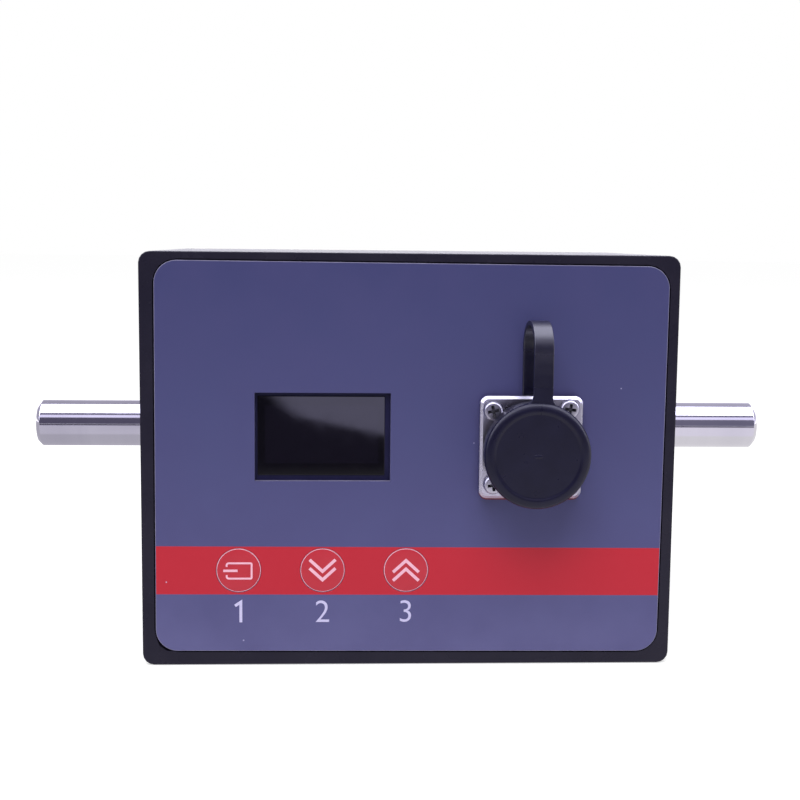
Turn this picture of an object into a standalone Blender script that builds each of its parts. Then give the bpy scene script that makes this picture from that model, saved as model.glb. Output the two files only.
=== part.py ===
# Rotary torque sensor with a display panel, three keys and a capped connector.
# The shaft runs along X, the panel looks along -Y, and the base is the plane Z = 0.

from math import acos, cos, pi, radians, sin, sqrt, tan

import bmesh
import bpy
from mathutils import Matrix, Vector

mm = 0.001
axis_mark = 10.0 * mm

# Clearances
fit_gap = 0.3 * mm
press_gap = 0.15 * mm
seat_gap = 0.05 * mm
running_gap = 0.5 * mm

# Body
body_width = 103.0 * mm
body_height = 80.0 * mm
body_corner = 2.2 * mm
shaft_to_back = 24.0 * mm
shaft_height = 42.0 * mm
edge_chamfer = 0.4 * mm
bay_wall = 9.0 * mm
bay_floor_wall = 3.0 * mm
bay_corner = 4.0 * mm

# Fixing holes in the base
base_hole_diameter = 4.2 * mm
base_hole_depth = 10.0 * mm
base_hole_spacing_x = 76.0 * mm
base_hole_spacing_y = 26.0 * mm

# Front frame and its gasket
frame_thickness = 6.0 * mm
frame_gasket_thickness = 0.5 * mm
frame_gasket_inset = 0.5 * mm
frame_screw_inset = 5.6 * mm
frame_screw_shank = 3.0 * mm
frame_screw_head = 5.4 * mm
frame_screw_length = 10.0 * mm

# Front panel, bonded into a shallow pocket a little off the frame's middle
border_left = 2.7 * mm
border_right = 2.2 * mm
border_top = 1.8 * mm
border_bottom = 2.6 * mm
panel_thickness = 1.2 * mm
panel_pocket_depth = 1.0 * mm
panel_corner = 4.3 * mm
panel_gap = 0.25 * mm
panel_skew = radians(0.25)

# Display
window_width = 25.9 * mm
window_height = 16.8 * mm
window_from_left = 34.76 * mm
window_z = 45.06 * mm
glass_overlap_x = 0.5 * mm
glass_overlap_z = 1.2 * mm
glass_thickness = 1.5 * mm
display_board_side_rim = 0.2 * mm
display_board_end_rim = 4.05 * mm
display_board_drop = 1.0 * mm
board_thickness = 1.2 * mm
header_pin_side = 0.64 * mm
header_pitch = 2.54 * mm

# Keys
key_diameter = 8.6 * mm
key_hole_gap = 0.2 * mm
key_pitch = 16.18 * mm
key_from_left = 18.59 * mm
key_z = 18.8 * mm
key_collar_width = 1.1 * mm
key_collar_thickness = 1.5 * mm
key_wall = 1.0 * mm
key_skin = 1.4 * mm
key_post_diameter = 3.2 * mm
key_travel = 0.4 * mm
switch_side = 6.0 * mm
switch_height = 3.5 * mm
plunger_diameter = 3.4 * mm
plunger_grip = 0.9 * mm
plunger_stand = 1.35 * mm

# Main circuit board
main_board_thickness = 1.6 * mm
main_board_gap = 1.0 * mm
post_height = 3.35 * mm
post_diameter = 6.0 * mm
post_inset = 4.5 * mm
board_screw_shank = 2.5 * mm
board_screw_head = 4.5 * mm
board_screw_head_height = 1.5 * mm
board_screw_length = 4.5 * mm
peg_diameter = 2.4 * mm
board_parts_gap = 4.0 * mm
board_parts_z = 8.0 * mm
processor_side = 10.0 * mm
processor_rise = 1.5 * mm
socket_width = 5.0 * mm
socket_length = 14.0 * mm
socket_rise = 4.0 * mm
can_diameter = 5.0 * mm
can_height = 5.0 * mm
board_part_spacing = 3.0 * mm

# Connector
connector_from_right = 28.5 * mm
connector_z = 43.48 * mm
flange_thickness = 2.0 * mm
flange_corner = 1.4 * mm
flange_chamfer = 0.55 * mm
flange_gasket_thickness = 1.1 * mm
flange_gasket_drop = 0.5 * mm
flange_gasket_shift = 0.3 * mm
barrel_diameter = 16.4 * mm
barrel_wall = 1.2 * mm
barrel_reach = 7.5 * mm
tail_step = 0.4 * mm
tail_lip_width = 1.25 * mm
tail_lip_thickness = 1.2 * mm
tail_overhang = 1.0 * mm
insert_thickness = 9.0 * mm
pin_diameter = 1.6 * mm
pin_cup_diameter = 1.9 * mm
pin_to_wall = 2.8 * mm
pin_count = 5
pin_reach = 5.2 * mm
pin_cup_reach = 2.4 * mm
flange_screw_margin = 0.4 * mm
flange_screw_inset = 2.65 * mm
flange_screw_head = 3.8 * mm
flange_screw_head_height = 1.4 * mm
flange_screw_shank = 2.0 * mm
flange_screw_length = 7.2 * mm

# Dust cap and its strap
cap_wall = 1.5 * mm
cap_face_thickness = 1.5 * mm
cap_rim_width = 2.0 * mm
cap_rim_height = 0.5 * mm
cap_rounding = 0.9 * mm
cap_tab_height = 2.4 * mm
cap_tab_fillet = 2.6 * mm
cap_tab_root = 2.0 * mm
strap_width = 3.6 * mm
strap_offset_x = 0.8 * mm
strap_thickness = 0.9 * mm
strap_rise = 14.9 * mm
strap_ring_width = 0.9 * mm

# Ball bearings
bearing_bore = 12.0 * mm
bearing_outer = 28.0 * mm
bearing_width = 8.0 * mm
ball_diameter = 4.76 * mm
ball_count = 8
race_land = 2.0 * mm
cage_wall = 1.2 * mm
cage_width = 5.4 * mm

# Bearing carriers
carrier_wall = 4.55 * mm
carrier_flange_rim = 4.0 * mm
carrier_flange_thickness = 2.0 * mm
carrier_overhang = 1.2 * mm
bearing_inset = 2.4 * mm
carrier_screw_shank = 2.0 * mm
carrier_screw_head = 3.4 * mm
carrier_screw_head_height = 1.0 * mm
carrier_screw_length = 7.0 * mm

# Torsion shaft
shaft_diameter = 10.0 * mm
shaft_reach = 27.5 * mm
shaft_end_chamfer = 0.9 * mm
centre_hole_diameter = 3.0 * mm
seat_diameter = 15.0 * mm
measuring_diameter = 9.0 * mm
measuring_length = 18.0 * mm

# What the shaft carries
coil_offset = 26.0 * mm
stator_wall = 5.5 * mm
rotor_coil_width = 7.0 * mm
stator_coil_width = 9.0 * mm
coil_flange = 1.2 * mm
winding_depth = 1.4 * mm
disc_offset = 15.5 * mm
disc_to_tunnel = 4.0 * mm
disc_thickness = 1.5 * mm
disc_teeth = 24
tooth_depth = 1.8 * mm
tooth_slope = 0.06
rotor_board_to_tunnel = 5.0 * mm
rotor_board_thickness = 1.6 * mm
rotor_chip_side = 2.8 * mm
rotor_chip_rise = 1.1 * mm
gauge_length = 7.0 * mm
gauge_thickness = 0.3 * mm
gauge_spread = radians(67.5)
pickup_diameter = 6.0 * mm
pickup_head_diameter = 9.0 * mm
pickup_head_height = 1.5 * mm
lead_hole_diameter = 4.0 * mm

# Facets round a circle
fine_facets = 28
coarse_facets = 20
screw_facets = 10
small_facets = 8
visible_screw_facets = 16
socket_facets = 6

# Shares of a screw head's radius and height
dome_top_share = 0.55
dome_shoulder_share = 0.86
dome_shoulder_rise = 0.72
dome_side_rise = 0.3
recess_span_share = 0.58
recess_slot_share = 0.25
recess_depth_share = 0.6

# Radii round the shaft, outwards
ball_circle = (bearing_bore + bearing_outer) / 4
groove_radius = ball_diameter / 2 + press_gap
inner_land = ball_circle - race_land
outer_land = ball_circle + race_land
seat_bore = seat_diameter / 2 + press_gap
carrier_seat = bearing_outer / 2 + press_gap
carrier_spigot = carrier_seat + carrier_wall
tunnel_radius = carrier_spigot + fit_gap
carrier_flange_radius = tunnel_radius + carrier_flange_rim
carrier_screw_radius = tunnel_radius + carrier_flange_rim / 2
stator_radius = tunnel_radius - fit_gap
stator_bore = stator_radius - stator_wall
rotor_coil_radius = stator_bore - running_gap
disc_radius = tunnel_radius - disc_to_tunnel
rotor_board_radius = tunnel_radius - rotor_board_to_tunnel

# Planes along Y, from the shaft to the front
housing_back = shaft_to_back
bay_floor = -tunnel_radius - bay_floor_wall
post_top = bay_floor - post_height
main_board_back = post_top - seat_gap
main_board_front = main_board_back - main_board_thickness
switch_front = main_board_front - seat_gap - switch_height
plunger_front = switch_front - plunger_stand
plunger_back = switch_front + plunger_grip
key_collar_back = plunger_front - fit_gap
key_collar_front = key_collar_back - key_collar_thickness
frame_back = key_collar_front - fit_gap
frame_gasket_front = frame_back + seat_gap
frame_gasket_back = frame_gasket_front + frame_gasket_thickness
housing_front = frame_gasket_back + seat_gap
front_face = frame_back - frame_thickness
pocket_floor = front_face + panel_pocket_depth
frame_screw_front = pocket_floor + seat_gap
panel_back = pocket_floor - seat_gap
panel_front = panel_back - panel_thickness
glass_front = panel_back + fit_gap
glass_back = glass_front + glass_thickness
display_board_front = glass_back + 2 * fit_gap
display_board_back = display_board_front + board_thickness
flange_gasket_back = panel_front - seat_gap
flange_gasket_front = flange_gasket_back - flange_gasket_thickness
flange_back = flange_gasket_front - seat_gap
flange_front = flange_back - flange_thickness
barrel_front = flange_front - barrel_reach
tail_back = frame_back + tail_overhang
insert_back = tail_back - tail_lip_thickness - fit_gap
insert_front = insert_back - insert_thickness
flange_screw_seat = flange_front - seat_gap
cap_inside = barrel_front - fit_gap
cap_front = cap_inside - cap_face_thickness
cap_back = flange_screw_seat - flange_screw_head_height - fit_gap

# Places across the front
panel_width = body_width - border_left - border_right
panel_height = body_height - border_top - border_bottom
panel_x = (border_left - border_right) / 2
panel_z = (body_height + border_bottom - border_top) / 2
bay_width = body_width - 2 * bay_wall
bay_height = body_height - 2 * bay_wall
body_middle_z = body_height / 2
window_x = window_from_left - body_width / 2
glass_width = window_width + 2 * glass_overlap_x
glass_height = window_height + 2 * glass_overlap_z
display_board_width = glass_width + 2 * display_board_side_rim
display_board_height = glass_height + 2 * display_board_end_rim
display_board_z = window_z - display_board_drop
key_places = [key_from_left + step * key_pitch - body_width / 2 for step in range(3)]
key_hole_diameter = key_diameter + 2 * key_hole_gap

# The connector, outwards from its barrel
connector_x = body_width / 2 - connector_from_right
barrel_bore = barrel_diameter - 2 * barrel_wall
tail_diameter = barrel_diameter - 2 * tail_step
tail_lip_bore = barrel_bore - 2 * tail_lip_width
tail_hole_diameter = tail_diameter + 2 * fit_gap
pin_circle = barrel_bore - 2 * pin_to_wall
strap_ring_radius = tail_hole_diameter / 2 + strap_ring_width
flange_screw_radius = strap_ring_radius + flange_screw_margin + flange_screw_shank / 2
flange_screw_spacing = flange_screw_radius * sqrt(2)
flange_side = flange_screw_spacing + 2 * flange_screw_inset
cap_bore = barrel_diameter + 2 * fit_gap
cap_diameter = cap_bore + 2 * cap_wall
strap_x = connector_x + strap_offset_x

# Places along the shaft
bearing_middle = body_width / 2 - bearing_inset - bearing_width / 2
carrier_flange_inside = body_width / 2 + seat_gap
carrier_flange_outside = carrier_flange_inside + carrier_flange_thickness
carrier_inner_end = bearing_middle - bearing_width / 2 - carrier_overhang
carrier_screw_tip = carrier_flange_outside - seat_gap - carrier_screw_length
shaft_end = body_width / 2 + shaft_reach


def finish(name, colour, roughness, metallic=0.0):
    found = bpy.data.materials.get(name)
    if found:
        return found
    made = bpy.data.materials.new(name)
    made.use_nodes = True
    shader = made.node_tree.nodes["Principled BSDF"]
    shader.inputs["Base Color"].default_value = (*colour, 1.0)
    shader.inputs["Roughness"].default_value = roughness
    shader.inputs["Metallic"].default_value = metallic
    return made


def black_metal():
    return finish("black_anodised_aluminium", (0.018, 0.018, 0.026), 0.45, 0.5)


def panel_blue():
    return finish("panel_blue", (0.08, 0.08, 0.2), 0.4)


def key_red():
    return finish("key_red", (0.5, 0.03, 0.05), 0.45)


def black_glass():
    return finish("black_glass", (0.01, 0.01, 0.014), 0.08)


def black_rubber():
    return finish("black_rubber", (0.02, 0.02, 0.035), 0.6)


def red_gasket():
    return finish("red_silicone", (0.25, 0.02, 0.03), 0.6)


def bright_steel():
    return finish("bright_steel", (0.62, 0.62, 0.66), 0.25, 1.0)


def satin_nickel():
    return finish("satin_nickel", (0.55, 0.54, 0.6), 0.35, 0.9)


def dark_plastic():
    return finish("dark_plastic", (0.03, 0.03, 0.035), 0.5)


def green_board():
    return finish("green_board", (0.02, 0.16, 0.07), 0.5)


def copper_winding():
    return finish("copper_winding", (0.55, 0.22, 0.09), 0.4, 0.8)


def gold_contact():
    return finish("gold_contact", (0.75, 0.55, 0.22), 0.25, 1.0)


def amber_film():
    return finish("amber_film", (0.6, 0.3, 0.06), 0.4)


# An object from a bmesh, with its round faces shaded smooth
def solid(name, shape, material, place=(0, 0, 0)):
    bmesh.ops.recalc_face_normals(shape, faces=shape.faces)
    mesh = bpy.data.meshes.new(name)
    shape.to_mesh(mesh)
    shape.free()
    mesh.shade_smooth()
    mesh.set_sharp_from_angle(angle=radians(30))
    mesh.materials.append(material)
    made = bpy.data.objects.new(name, mesh)
    made.location = place
    bpy.context.scene.collection.objects.link(made)
    return made


# Turns local +X onto the wanted direction
def turn_to(direction):
    return Vector(direction).to_track_quat("X", "Z").to_matrix().to_4x4()


# A turned shape: a section of (along, radius) points spun about a line through the middle
def spin_section(section, facets, direction=(1, 0, 0), middle=(0, 0, 0)):
    shape = bmesh.new()
    corners = [shape.verts.new((along, 0, radius)) for along, radius in section]
    edges = [shape.edges.new(pair) for pair in zip(corners, corners[1:])]
    if all(radius > 0 for _, radius in section):
        edges.append(shape.edges.new((corners[-1], corners[0])))
    bmesh.ops.spin(
        shape, geom=corners + edges, cent=(0, 0, 0), axis=(1, 0, 0),
        angle=2 * pi, steps=facets, use_merge=True, use_duplicate=False,
    )
    bmesh.ops.remove_doubles(shape, verts=shape.verts, dist=1e-7)
    half_facet = Matrix.Rotation(pi / facets, 4, "X")
    move = Matrix.Translation(middle) @ turn_to(direction) @ half_facet
    bmesh.ops.transform(shape, matrix=move, verts=shape.verts)
    return shape


def turned(name, section, material, facets, direction=(1, 0, 0), middle=(0, 0, 0), place=(0, 0, 0)):
    return solid(name, spin_section(section, facets, direction, middle), material, place)


# Section of a plain round bar between two places along its line
def bar(start, end, radius):
    return [(start, 0), (start, radius), (end, radius), (end, 0)]


# A section drawn for the right end, or its mirror image for the left
def on_side(side, section):
    return [(side * along, radius) for along, radius in section]


# Section of a plain ring
def ring(start, end, bore, radius):
    return [(start, bore), (start, radius), (end, radius), (end, bore)]


# A flat outline of points, drawn out by a step
def extruded(points, step):
    shape = bmesh.new()
    face = shape.faces.new([shape.verts.new(point) for point in points])
    drawn = bmesh.ops.extrude_face_region(shape, geom=[face])["geom"]
    moved = [item for item in drawn if isinstance(item, bmesh.types.BMVert)]
    bmesh.ops.translate(shape, vec=step, verts=moved)
    return shape


# An outline in X and Z, drawn out along Y
def draw_out(outline, front, back, chamfer=0.0):
    shape = extruded([(x, front, z) for x, z in outline], (0, back - front, 0))
    if chamfer:
        level = [e for e in shape.edges if all(abs(v.co.y - front) < 1e-9 for v in e.verts)]
        bmesh.ops.bevel(shape, geom=level, offset=chamfer, segments=1, affect="EDGES", profile=0.5)
    return shape


def arc(middle, radius, start, end, steps):
    turns = [start + (end - start) * step / steps for step in range(steps + 1)]
    return [(middle[0] + radius * cos(t), middle[1] + radius * sin(t)) for t in turns]


# Outline of a rectangle with round corners, about a middle, turned by skew
def rounded(middle, width, height, corner, steps=4, skew=0.0):
    points = []
    for quarter, (side, rise) in enumerate(((1, 1), (-1, 1), (-1, -1), (1, -1))):
        centre = (side * (width / 2 - corner), rise * (height / 2 - corner))
        start = quarter * pi / 2
        points += arc(centre, corner, start, start + pi / 2, steps)
    return [
        (middle[0] + x * cos(skew) + z * sin(skew), middle[1] - x * sin(skew) + z * cos(skew))
        for x, z in points
    ]


def rectangle(middle, width, height):
    return [
        (middle[0] + side * width / 2, middle[1] + rise * height / 2)
        for side, rise in ((1, 1), (-1, 1), (-1, -1), (1, -1))
    ]


# Several shapes as one tool for a cut or a join
def together(shapes):
    whole = bmesh.new()
    for shape in shapes:
        bmesh.ops.recalc_face_normals(shape, faces=shape.faces)
        mesh = bpy.data.meshes.new("piece")
        shape.to_mesh(mesh)
        shape.free()
        whole.from_mesh(mesh)
        bpy.data.meshes.remove(mesh)
    return whole


# Cuts the shapes from a target, or joins them to it, and drops the tool afterwards
def work(target, shapes, operation):
    tool = solid("tool", together(shapes), target.data.materials[0], target.location)
    change = target.modifiers.new("change", "BOOLEAN")
    change.object = tool
    change.operation = operation
    change.solver = "EXACT"
    bpy.context.view_layer.update()
    graph = bpy.context.evaluated_depsgraph_get()
    shape = bpy.data.meshes.new_from_object(target.evaluated_get(graph))
    target.modifiers.remove(change)
    before = target.data
    name = before.name
    target.data = shape
    bpy.data.meshes.remove(before)
    shape.name = name
    spare = tool.data
    bpy.data.objects.remove(tool)
    bpy.data.meshes.remove(spare)
    return target


def cut(target, *shapes):
    return work(target, shapes, "DIFFERENCE")


def join(target, *shapes):
    return work(target, shapes, "UNION")


# Round holes along Y, as a tool
def holes(places, diameter, start, end, facets=screw_facets):
    return [
        spin_section(bar(start, end, diameter / 2), facets, (0, 1, 0), (x, 0, z)) for x, z in places
    ]


def box(middle, size):
    shape = draw_out(rectangle((0, 0), size[0], size[2]), -size[1] / 2, size[1] / 2)
    bmesh.ops.translate(shape, vec=middle, verts=shape.verts)
    return shape


def empty(name, place):
    made = bpy.data.objects.new(name, None)
    made.location = place
    made.empty_display_size = axis_mark
    bpy.context.scene.collection.objects.link(made)
    return made


def frame_screw_places():
    across = body_width - 2 * frame_screw_inset
    up = body_height - 2 * frame_screw_inset
    return rectangle((0, body_middle_z), across, up)


def flange_screw_places():
    return rectangle((connector_x, connector_z), flange_screw_spacing, flange_screw_spacing)


def post_places():
    across = bay_width - 2 * post_inset
    up = bay_height - 2 * post_inset
    return rectangle((0, body_middle_z), across, up)


def carrier_screw_places():
    turns = (pi / 2, pi / 2 + 2 * pi / 3, pi / 2 + 4 * pi / 3)
    return [
        (carrier_screw_radius * cos(t), shaft_height + carrier_screw_radius * sin(t)) for t in turns
    ]


def make_housing():
    middle = (0, body_middle_z)
    outer = rounded(middle, body_width, body_height, body_corner)
    housing = solid("housing", draw_out(outer, housing_front, housing_back, edge_chamfer), black_metal())
    bay = rounded(middle, bay_width, bay_height, bay_corner)
    cut(housing, draw_out(bay, housing_front - fit_gap, bay_floor))
    half = body_width / 2
    tunnel = bar(-half - fit_gap, half + fit_gap, tunnel_radius)
    cut(housing, spin_section(tunnel, fine_facets, middle=(0, 0, shaft_height)))

    posts = post_places()
    sunk = bay_floor + fit_gap
    join(housing, *holes(posts, post_diameter, post_top, sunk, screw_facets))
    screw_hole = board_screw_shank + 2 * fit_gap
    screw_end = main_board_front - seat_gap + board_screw_length + fit_gap
    cut(housing, *holes(posts[1::2], screw_hole, post_top - fit_gap, screw_end))
    peg_top = main_board_front + seat_gap
    join(housing, *holes(posts[::2], peg_diameter, peg_top, bay_floor, small_facets))

    deep = frame_screw_front + frame_screw_length + fit_gap
    frame_hole = frame_screw_shank + 2 * fit_gap
    cut(housing, *holes(frame_screw_places(), frame_hole, housing_front - fit_gap, deep))

    into_tunnel = -tunnel_radius / 2
    pickup_hole = [(disc_offset, shaft_height)]
    cut(housing, *holes(pickup_hole, pickup_diameter + 2 * fit_gap, bay_floor - fit_gap, into_tunnel))
    lead_holes = [(side * coil_offset, shaft_height) for side in (-1, 1)]
    cut(housing, *holes(lead_holes, lead_hole_diameter, bay_floor - fit_gap, into_tunnel, small_facets))

    carrier_hole = (carrier_screw_shank + 2 * fit_gap) / 2
    tools = []
    for side in (-1, 1):
        section = bar(side * (carrier_screw_tip - fit_gap), side * (half + fit_gap), carrier_hole)
        for y, z in carrier_screw_places():
            tools.append(spin_section(section, small_facets, middle=(0, y, z)))
    cut(housing, *tools)

    base = rectangle((0, 0), base_hole_spacing_x, base_hole_spacing_y)
    base_hole = bar(-fit_gap, base_hole_depth, base_hole_diameter / 2)
    cut(housing, *[spin_section(base_hole, screw_facets, (0, 0, 1), (x, y, 0)) for x, y in base])
    return housing


def make_frame_gasket():
    middle = (0, body_middle_z)
    inset = 2 * frame_gasket_inset
    outer = rounded(middle, body_width - inset, body_height - inset, body_corner)
    sheet = draw_out(outer, frame_gasket_front, frame_gasket_back)
    gasket = solid("frame_gasket", sheet, dark_plastic())
    ahead, behind = frame_gasket_front - fit_gap, frame_gasket_back + fit_gap
    bay = rounded(middle, bay_width, bay_height, bay_corner)
    cut(gasket, draw_out(bay, ahead, behind))
    hole = frame_screw_shank + 2 * fit_gap
    cut(gasket, *holes(frame_screw_places(), hole, ahead, behind))


def make_front_frame():
    outer = rounded((0, body_middle_z), body_width, body_height, body_corner)
    frame = solid("front_frame", draw_out(outer, front_face, frame_back, edge_chamfer), black_metal())
    around = 2 * panel_gap
    pocket = rounded(
        (panel_x, panel_z), panel_width + around, panel_height + around,
        panel_corner + panel_gap, skew=panel_skew,
    )
    cut(frame, draw_out(pocket, front_face - fit_gap, pocket_floor))
    ahead = front_face - fit_gap
    behind = frame_back + fit_gap
    around = 2 * fit_gap
    window = rectangle((window_x, window_z), glass_width + around, glass_height + around)
    cut(frame, draw_out(window, ahead, behind))
    board = rectangle(
        (window_x, display_board_z), display_board_width + around, display_board_height + around
    )
    cut(frame, draw_out(board, glass_back + fit_gap, behind))
    keys = [(x, key_z) for x in key_places]
    cut(frame, *holes(keys, key_hole_diameter, ahead, behind, coarse_facets))
    tail = [(connector_x, connector_z)]
    cut(frame, *holes(tail, tail_hole_diameter, ahead, behind, coarse_facets))
    deep = flange_screw_seat + flange_screw_length + fit_gap
    screw_hole = flange_screw_shank + 2 * fit_gap
    cut(frame, *holes(flange_screw_places(), screw_hole, ahead, deep, small_facets))
    shank = frame_screw_shank / 2 + fit_gap
    head = frame_screw_head / 2 + fit_gap
    sink = [
        (ahead, 0), (ahead, head), (pocket_floor, head),
        (pocket_floor + head - shank, shank), (behind, shank), (behind, 0),
    ]
    tools = [
        spin_section(sink, screw_facets, (0, 1, 0), (x, 0, z)) for x, z in frame_screw_places()
    ]
    cut(frame, *tools)
    return frame


def make_panel():
    outline = rounded((panel_x, panel_z), panel_width, panel_height, panel_corner, skew=panel_skew)
    panel = solid("front_panel", draw_out(outline, panel_front, panel_back, panel_gap), panel_blue())
    ahead = panel_front - fit_gap
    behind = panel_back + fit_gap
    window = rectangle((window_x, window_z), window_width, window_height)
    cut(panel, draw_out(window, ahead, behind))
    keys = [(x, key_z) for x in key_places]
    cut(panel, *holes(keys, key_hole_diameter, ahead, behind, coarse_facets))
    tail = [(connector_x, connector_z)]
    cut(panel, *holes(tail, tail_hole_diameter, ahead, behind, coarse_facets))
    screw_hole = flange_screw_shank + 2 * fit_gap
    cut(panel, *holes(flange_screw_places(), screw_hole, ahead, behind, small_facets))


# Section of a countersunk screw with a flat head
def countersunk(front, head, shank, length):
    head_radius, shank_radius = head / 2, shank / 2
    end = front + length
    return [
        (front, 0), (front, head_radius), (front + head_radius - shank_radius, shank_radius),
        (end - shank_radius / 2, shank_radius), (end, shank_radius / 2), (end, 0),
    ]


# Section of a screw with a domed head, whose underside lies on the seat
def pan_head(seat, head, height, shank, length):
    head_radius, shank_radius = head / 2, shank / 2
    end = seat + length
    return [
        (seat - height, 0), (seat - height, head_radius * dome_top_share),
        (seat - height * dome_shoulder_rise, head_radius * dome_shoulder_share),
        (seat - height * dome_side_rise, head_radius),
        (seat, head_radius), (seat, shank_radius),
        (end - shank_radius / 2, shank_radius), (end, shank_radius / 2), (end, 0),
    ]


# A cross-shaped drive recess that looks along -Y
def cross_recess(place, front, span, depth):
    x, z = place
    slot = span * recess_slot_share
    bars = []
    for width, height in ((span, slot), (slot, span)):
        outline = rectangle((x, z), width, height)
        bars.append(draw_out(outline, front - fit_gap, front + depth))
    return bars


def make_frame_screws():
    for number, (x, z) in enumerate(frame_screw_places(), 1):
        front = frame_screw_front
        section = countersunk(front, frame_screw_head, frame_screw_shank, frame_screw_length)
        span = frame_screw_head * recess_span_share
        screw = turned(
            f"frame_screw_{number}", section, bright_steel(), screw_facets, (0, 1, 0), (x, 0, z)
        )
        for tool in cross_recess((x, z), front, span, span / 3):
            cut(screw, tool)


def make_flange_screws():
    for number, (x, z) in enumerate(flange_screw_places(), 1):
        section = pan_head(
            flange_screw_seat, flange_screw_head, flange_screw_head_height,
            flange_screw_shank, flange_screw_length,
        )
        screw = turned(
            f"flange_screw_{number}", section, bright_steel(), visible_screw_facets, (0, 1, 0), (x, 0, z)
        )
        front = flange_screw_seat - flange_screw_head_height
        recess_depth = flange_screw_head_height * recess_depth_share
        span = flange_screw_head * recess_span_share
        for tool in cross_recess((x, z), front, span, recess_depth):
            cut(screw, tool)


def make_board_screws():
    seat = main_board_front - seat_gap
    for number, (x, z) in enumerate(post_places()[1::2], 1):
        section = pan_head(
            seat, board_screw_head, board_screw_head_height, board_screw_shank, board_screw_length
        )
        turned(f"board_screw_{number}", section, bright_steel(), screw_facets, (0, 1, 0), (x, 0, z))


def make_display():
    glass = rectangle((window_x, window_z), glass_width, glass_height)
    solid("display_glass", draw_out(glass, glass_front, glass_back), black_glass())
    outline = rectangle((window_x, display_board_z), display_board_width, display_board_height)
    board = solid(
        "display_board", draw_out(outline, display_board_front, display_board_back), green_board()
    )
    header_z = display_board_z + display_board_height / 2 - header_pitch
    pin_back = main_board_front - fit_gap
    base_width = 4 * header_pitch
    base_middle = display_board_back + header_pitch / 2 - seat_gap
    parts = [box((window_x, base_middle, header_z), (base_width, header_pitch, header_pitch))]
    join(board, *parts)
    pin_start = display_board_back + header_pitch / 2
    pins = []
    for step in range(4):
        x = window_x + (step - 1.5) * header_pitch
        outline = rectangle((x, header_z), header_pin_side, header_pin_side)
        pins.append(draw_out(outline, pin_start, pin_back))
    join(board, *pins)


def make_main_board():
    middle = (0, body_middle_z)
    gap = 2 * main_board_gap
    outline = rounded(middle, bay_width - gap, bay_height - gap, bay_corner - main_board_gap, 2)
    board = solid(
        "main_board", draw_out(outline, main_board_front, main_board_back), green_board()
    )
    hole = board_screw_shank + 2 * fit_gap
    ahead, behind = main_board_front - fit_gap, main_board_back + fit_gap
    cut(board, *holes(post_places(), hole, ahead, behind, small_facets))
    left = key_places[-1] + switch_side / 2 + board_parts_gap
    low = bay_wall + board_parts_z
    chip_y = main_board_front - processor_rise / 2 + seat_gap
    socket_y = main_board_front - socket_rise / 2 + seat_gap
    socket_x = left + processor_side + board_part_spacing + socket_width / 2
    across = (socket_width, socket_rise, socket_length)
    chip = (processor_side, processor_rise, processor_side)
    second_x = bay_wall + 2 * socket_width - body_width / 2
    parts = [box((left + processor_side / 2, chip_y, low), chip)]
    parts.append(box((socket_x, socket_y, low + socket_length / 2), across))
    parts.append(box((second_x, socket_y, body_middle_z), across))
    join(board, *parts)
    can_z = low + processor_side / 2 + board_part_spacing + can_diameter / 2
    can = [(left + can_diameter / 2, can_z)]
    join(board, *holes(can, can_diameter, main_board_front - can_height, main_board_front + seat_gap))


def make_keys():
    switch_middle = main_board_front - seat_gap - switch_height / 2
    for number, x in enumerate(key_places, 1):
        line = empty(f"key_{number}_axis", (x, 0, key_z))
        outer = key_diameter / 2
        collar = outer + key_collar_width
        inner = outer - key_wall
        post = key_post_diameter / 2
        floor = panel_front + key_skin
        section = [
            (panel_front, 0), (panel_front, outer - key_hole_gap),
            (panel_front + key_hole_gap, outer), (key_collar_front, outer),
            (key_collar_front, collar), (key_collar_back, collar), (key_collar_back, inner),
            (floor, inner), (floor, post), (key_collar_back, post), (key_collar_back, 0),
        ]
        cap = turned(f"key_cap_{number}", section, key_red(), coarse_facets, (0, 1, 0))
        cap.parent = line
        plunger = turned(
            f"switch_plunger_{number}", bar(plunger_front, plunger_back, plunger_diameter / 2),
            dark_plastic(), screw_facets, (0, 1, 0),
        )
        plunger.parent = line
        block = box((0, switch_middle, 0), (switch_side, switch_height, switch_side))
        switch = solid(f"tact_switch_{number}", block, dark_plastic(), (x, 0, key_z))
        well = plunger_diameter + 2 * fit_gap
        deep = plunger_back + key_travel + fit_gap
        cut(switch, *holes([(0, 0)], well, switch_front - fit_gap, deep))


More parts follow.
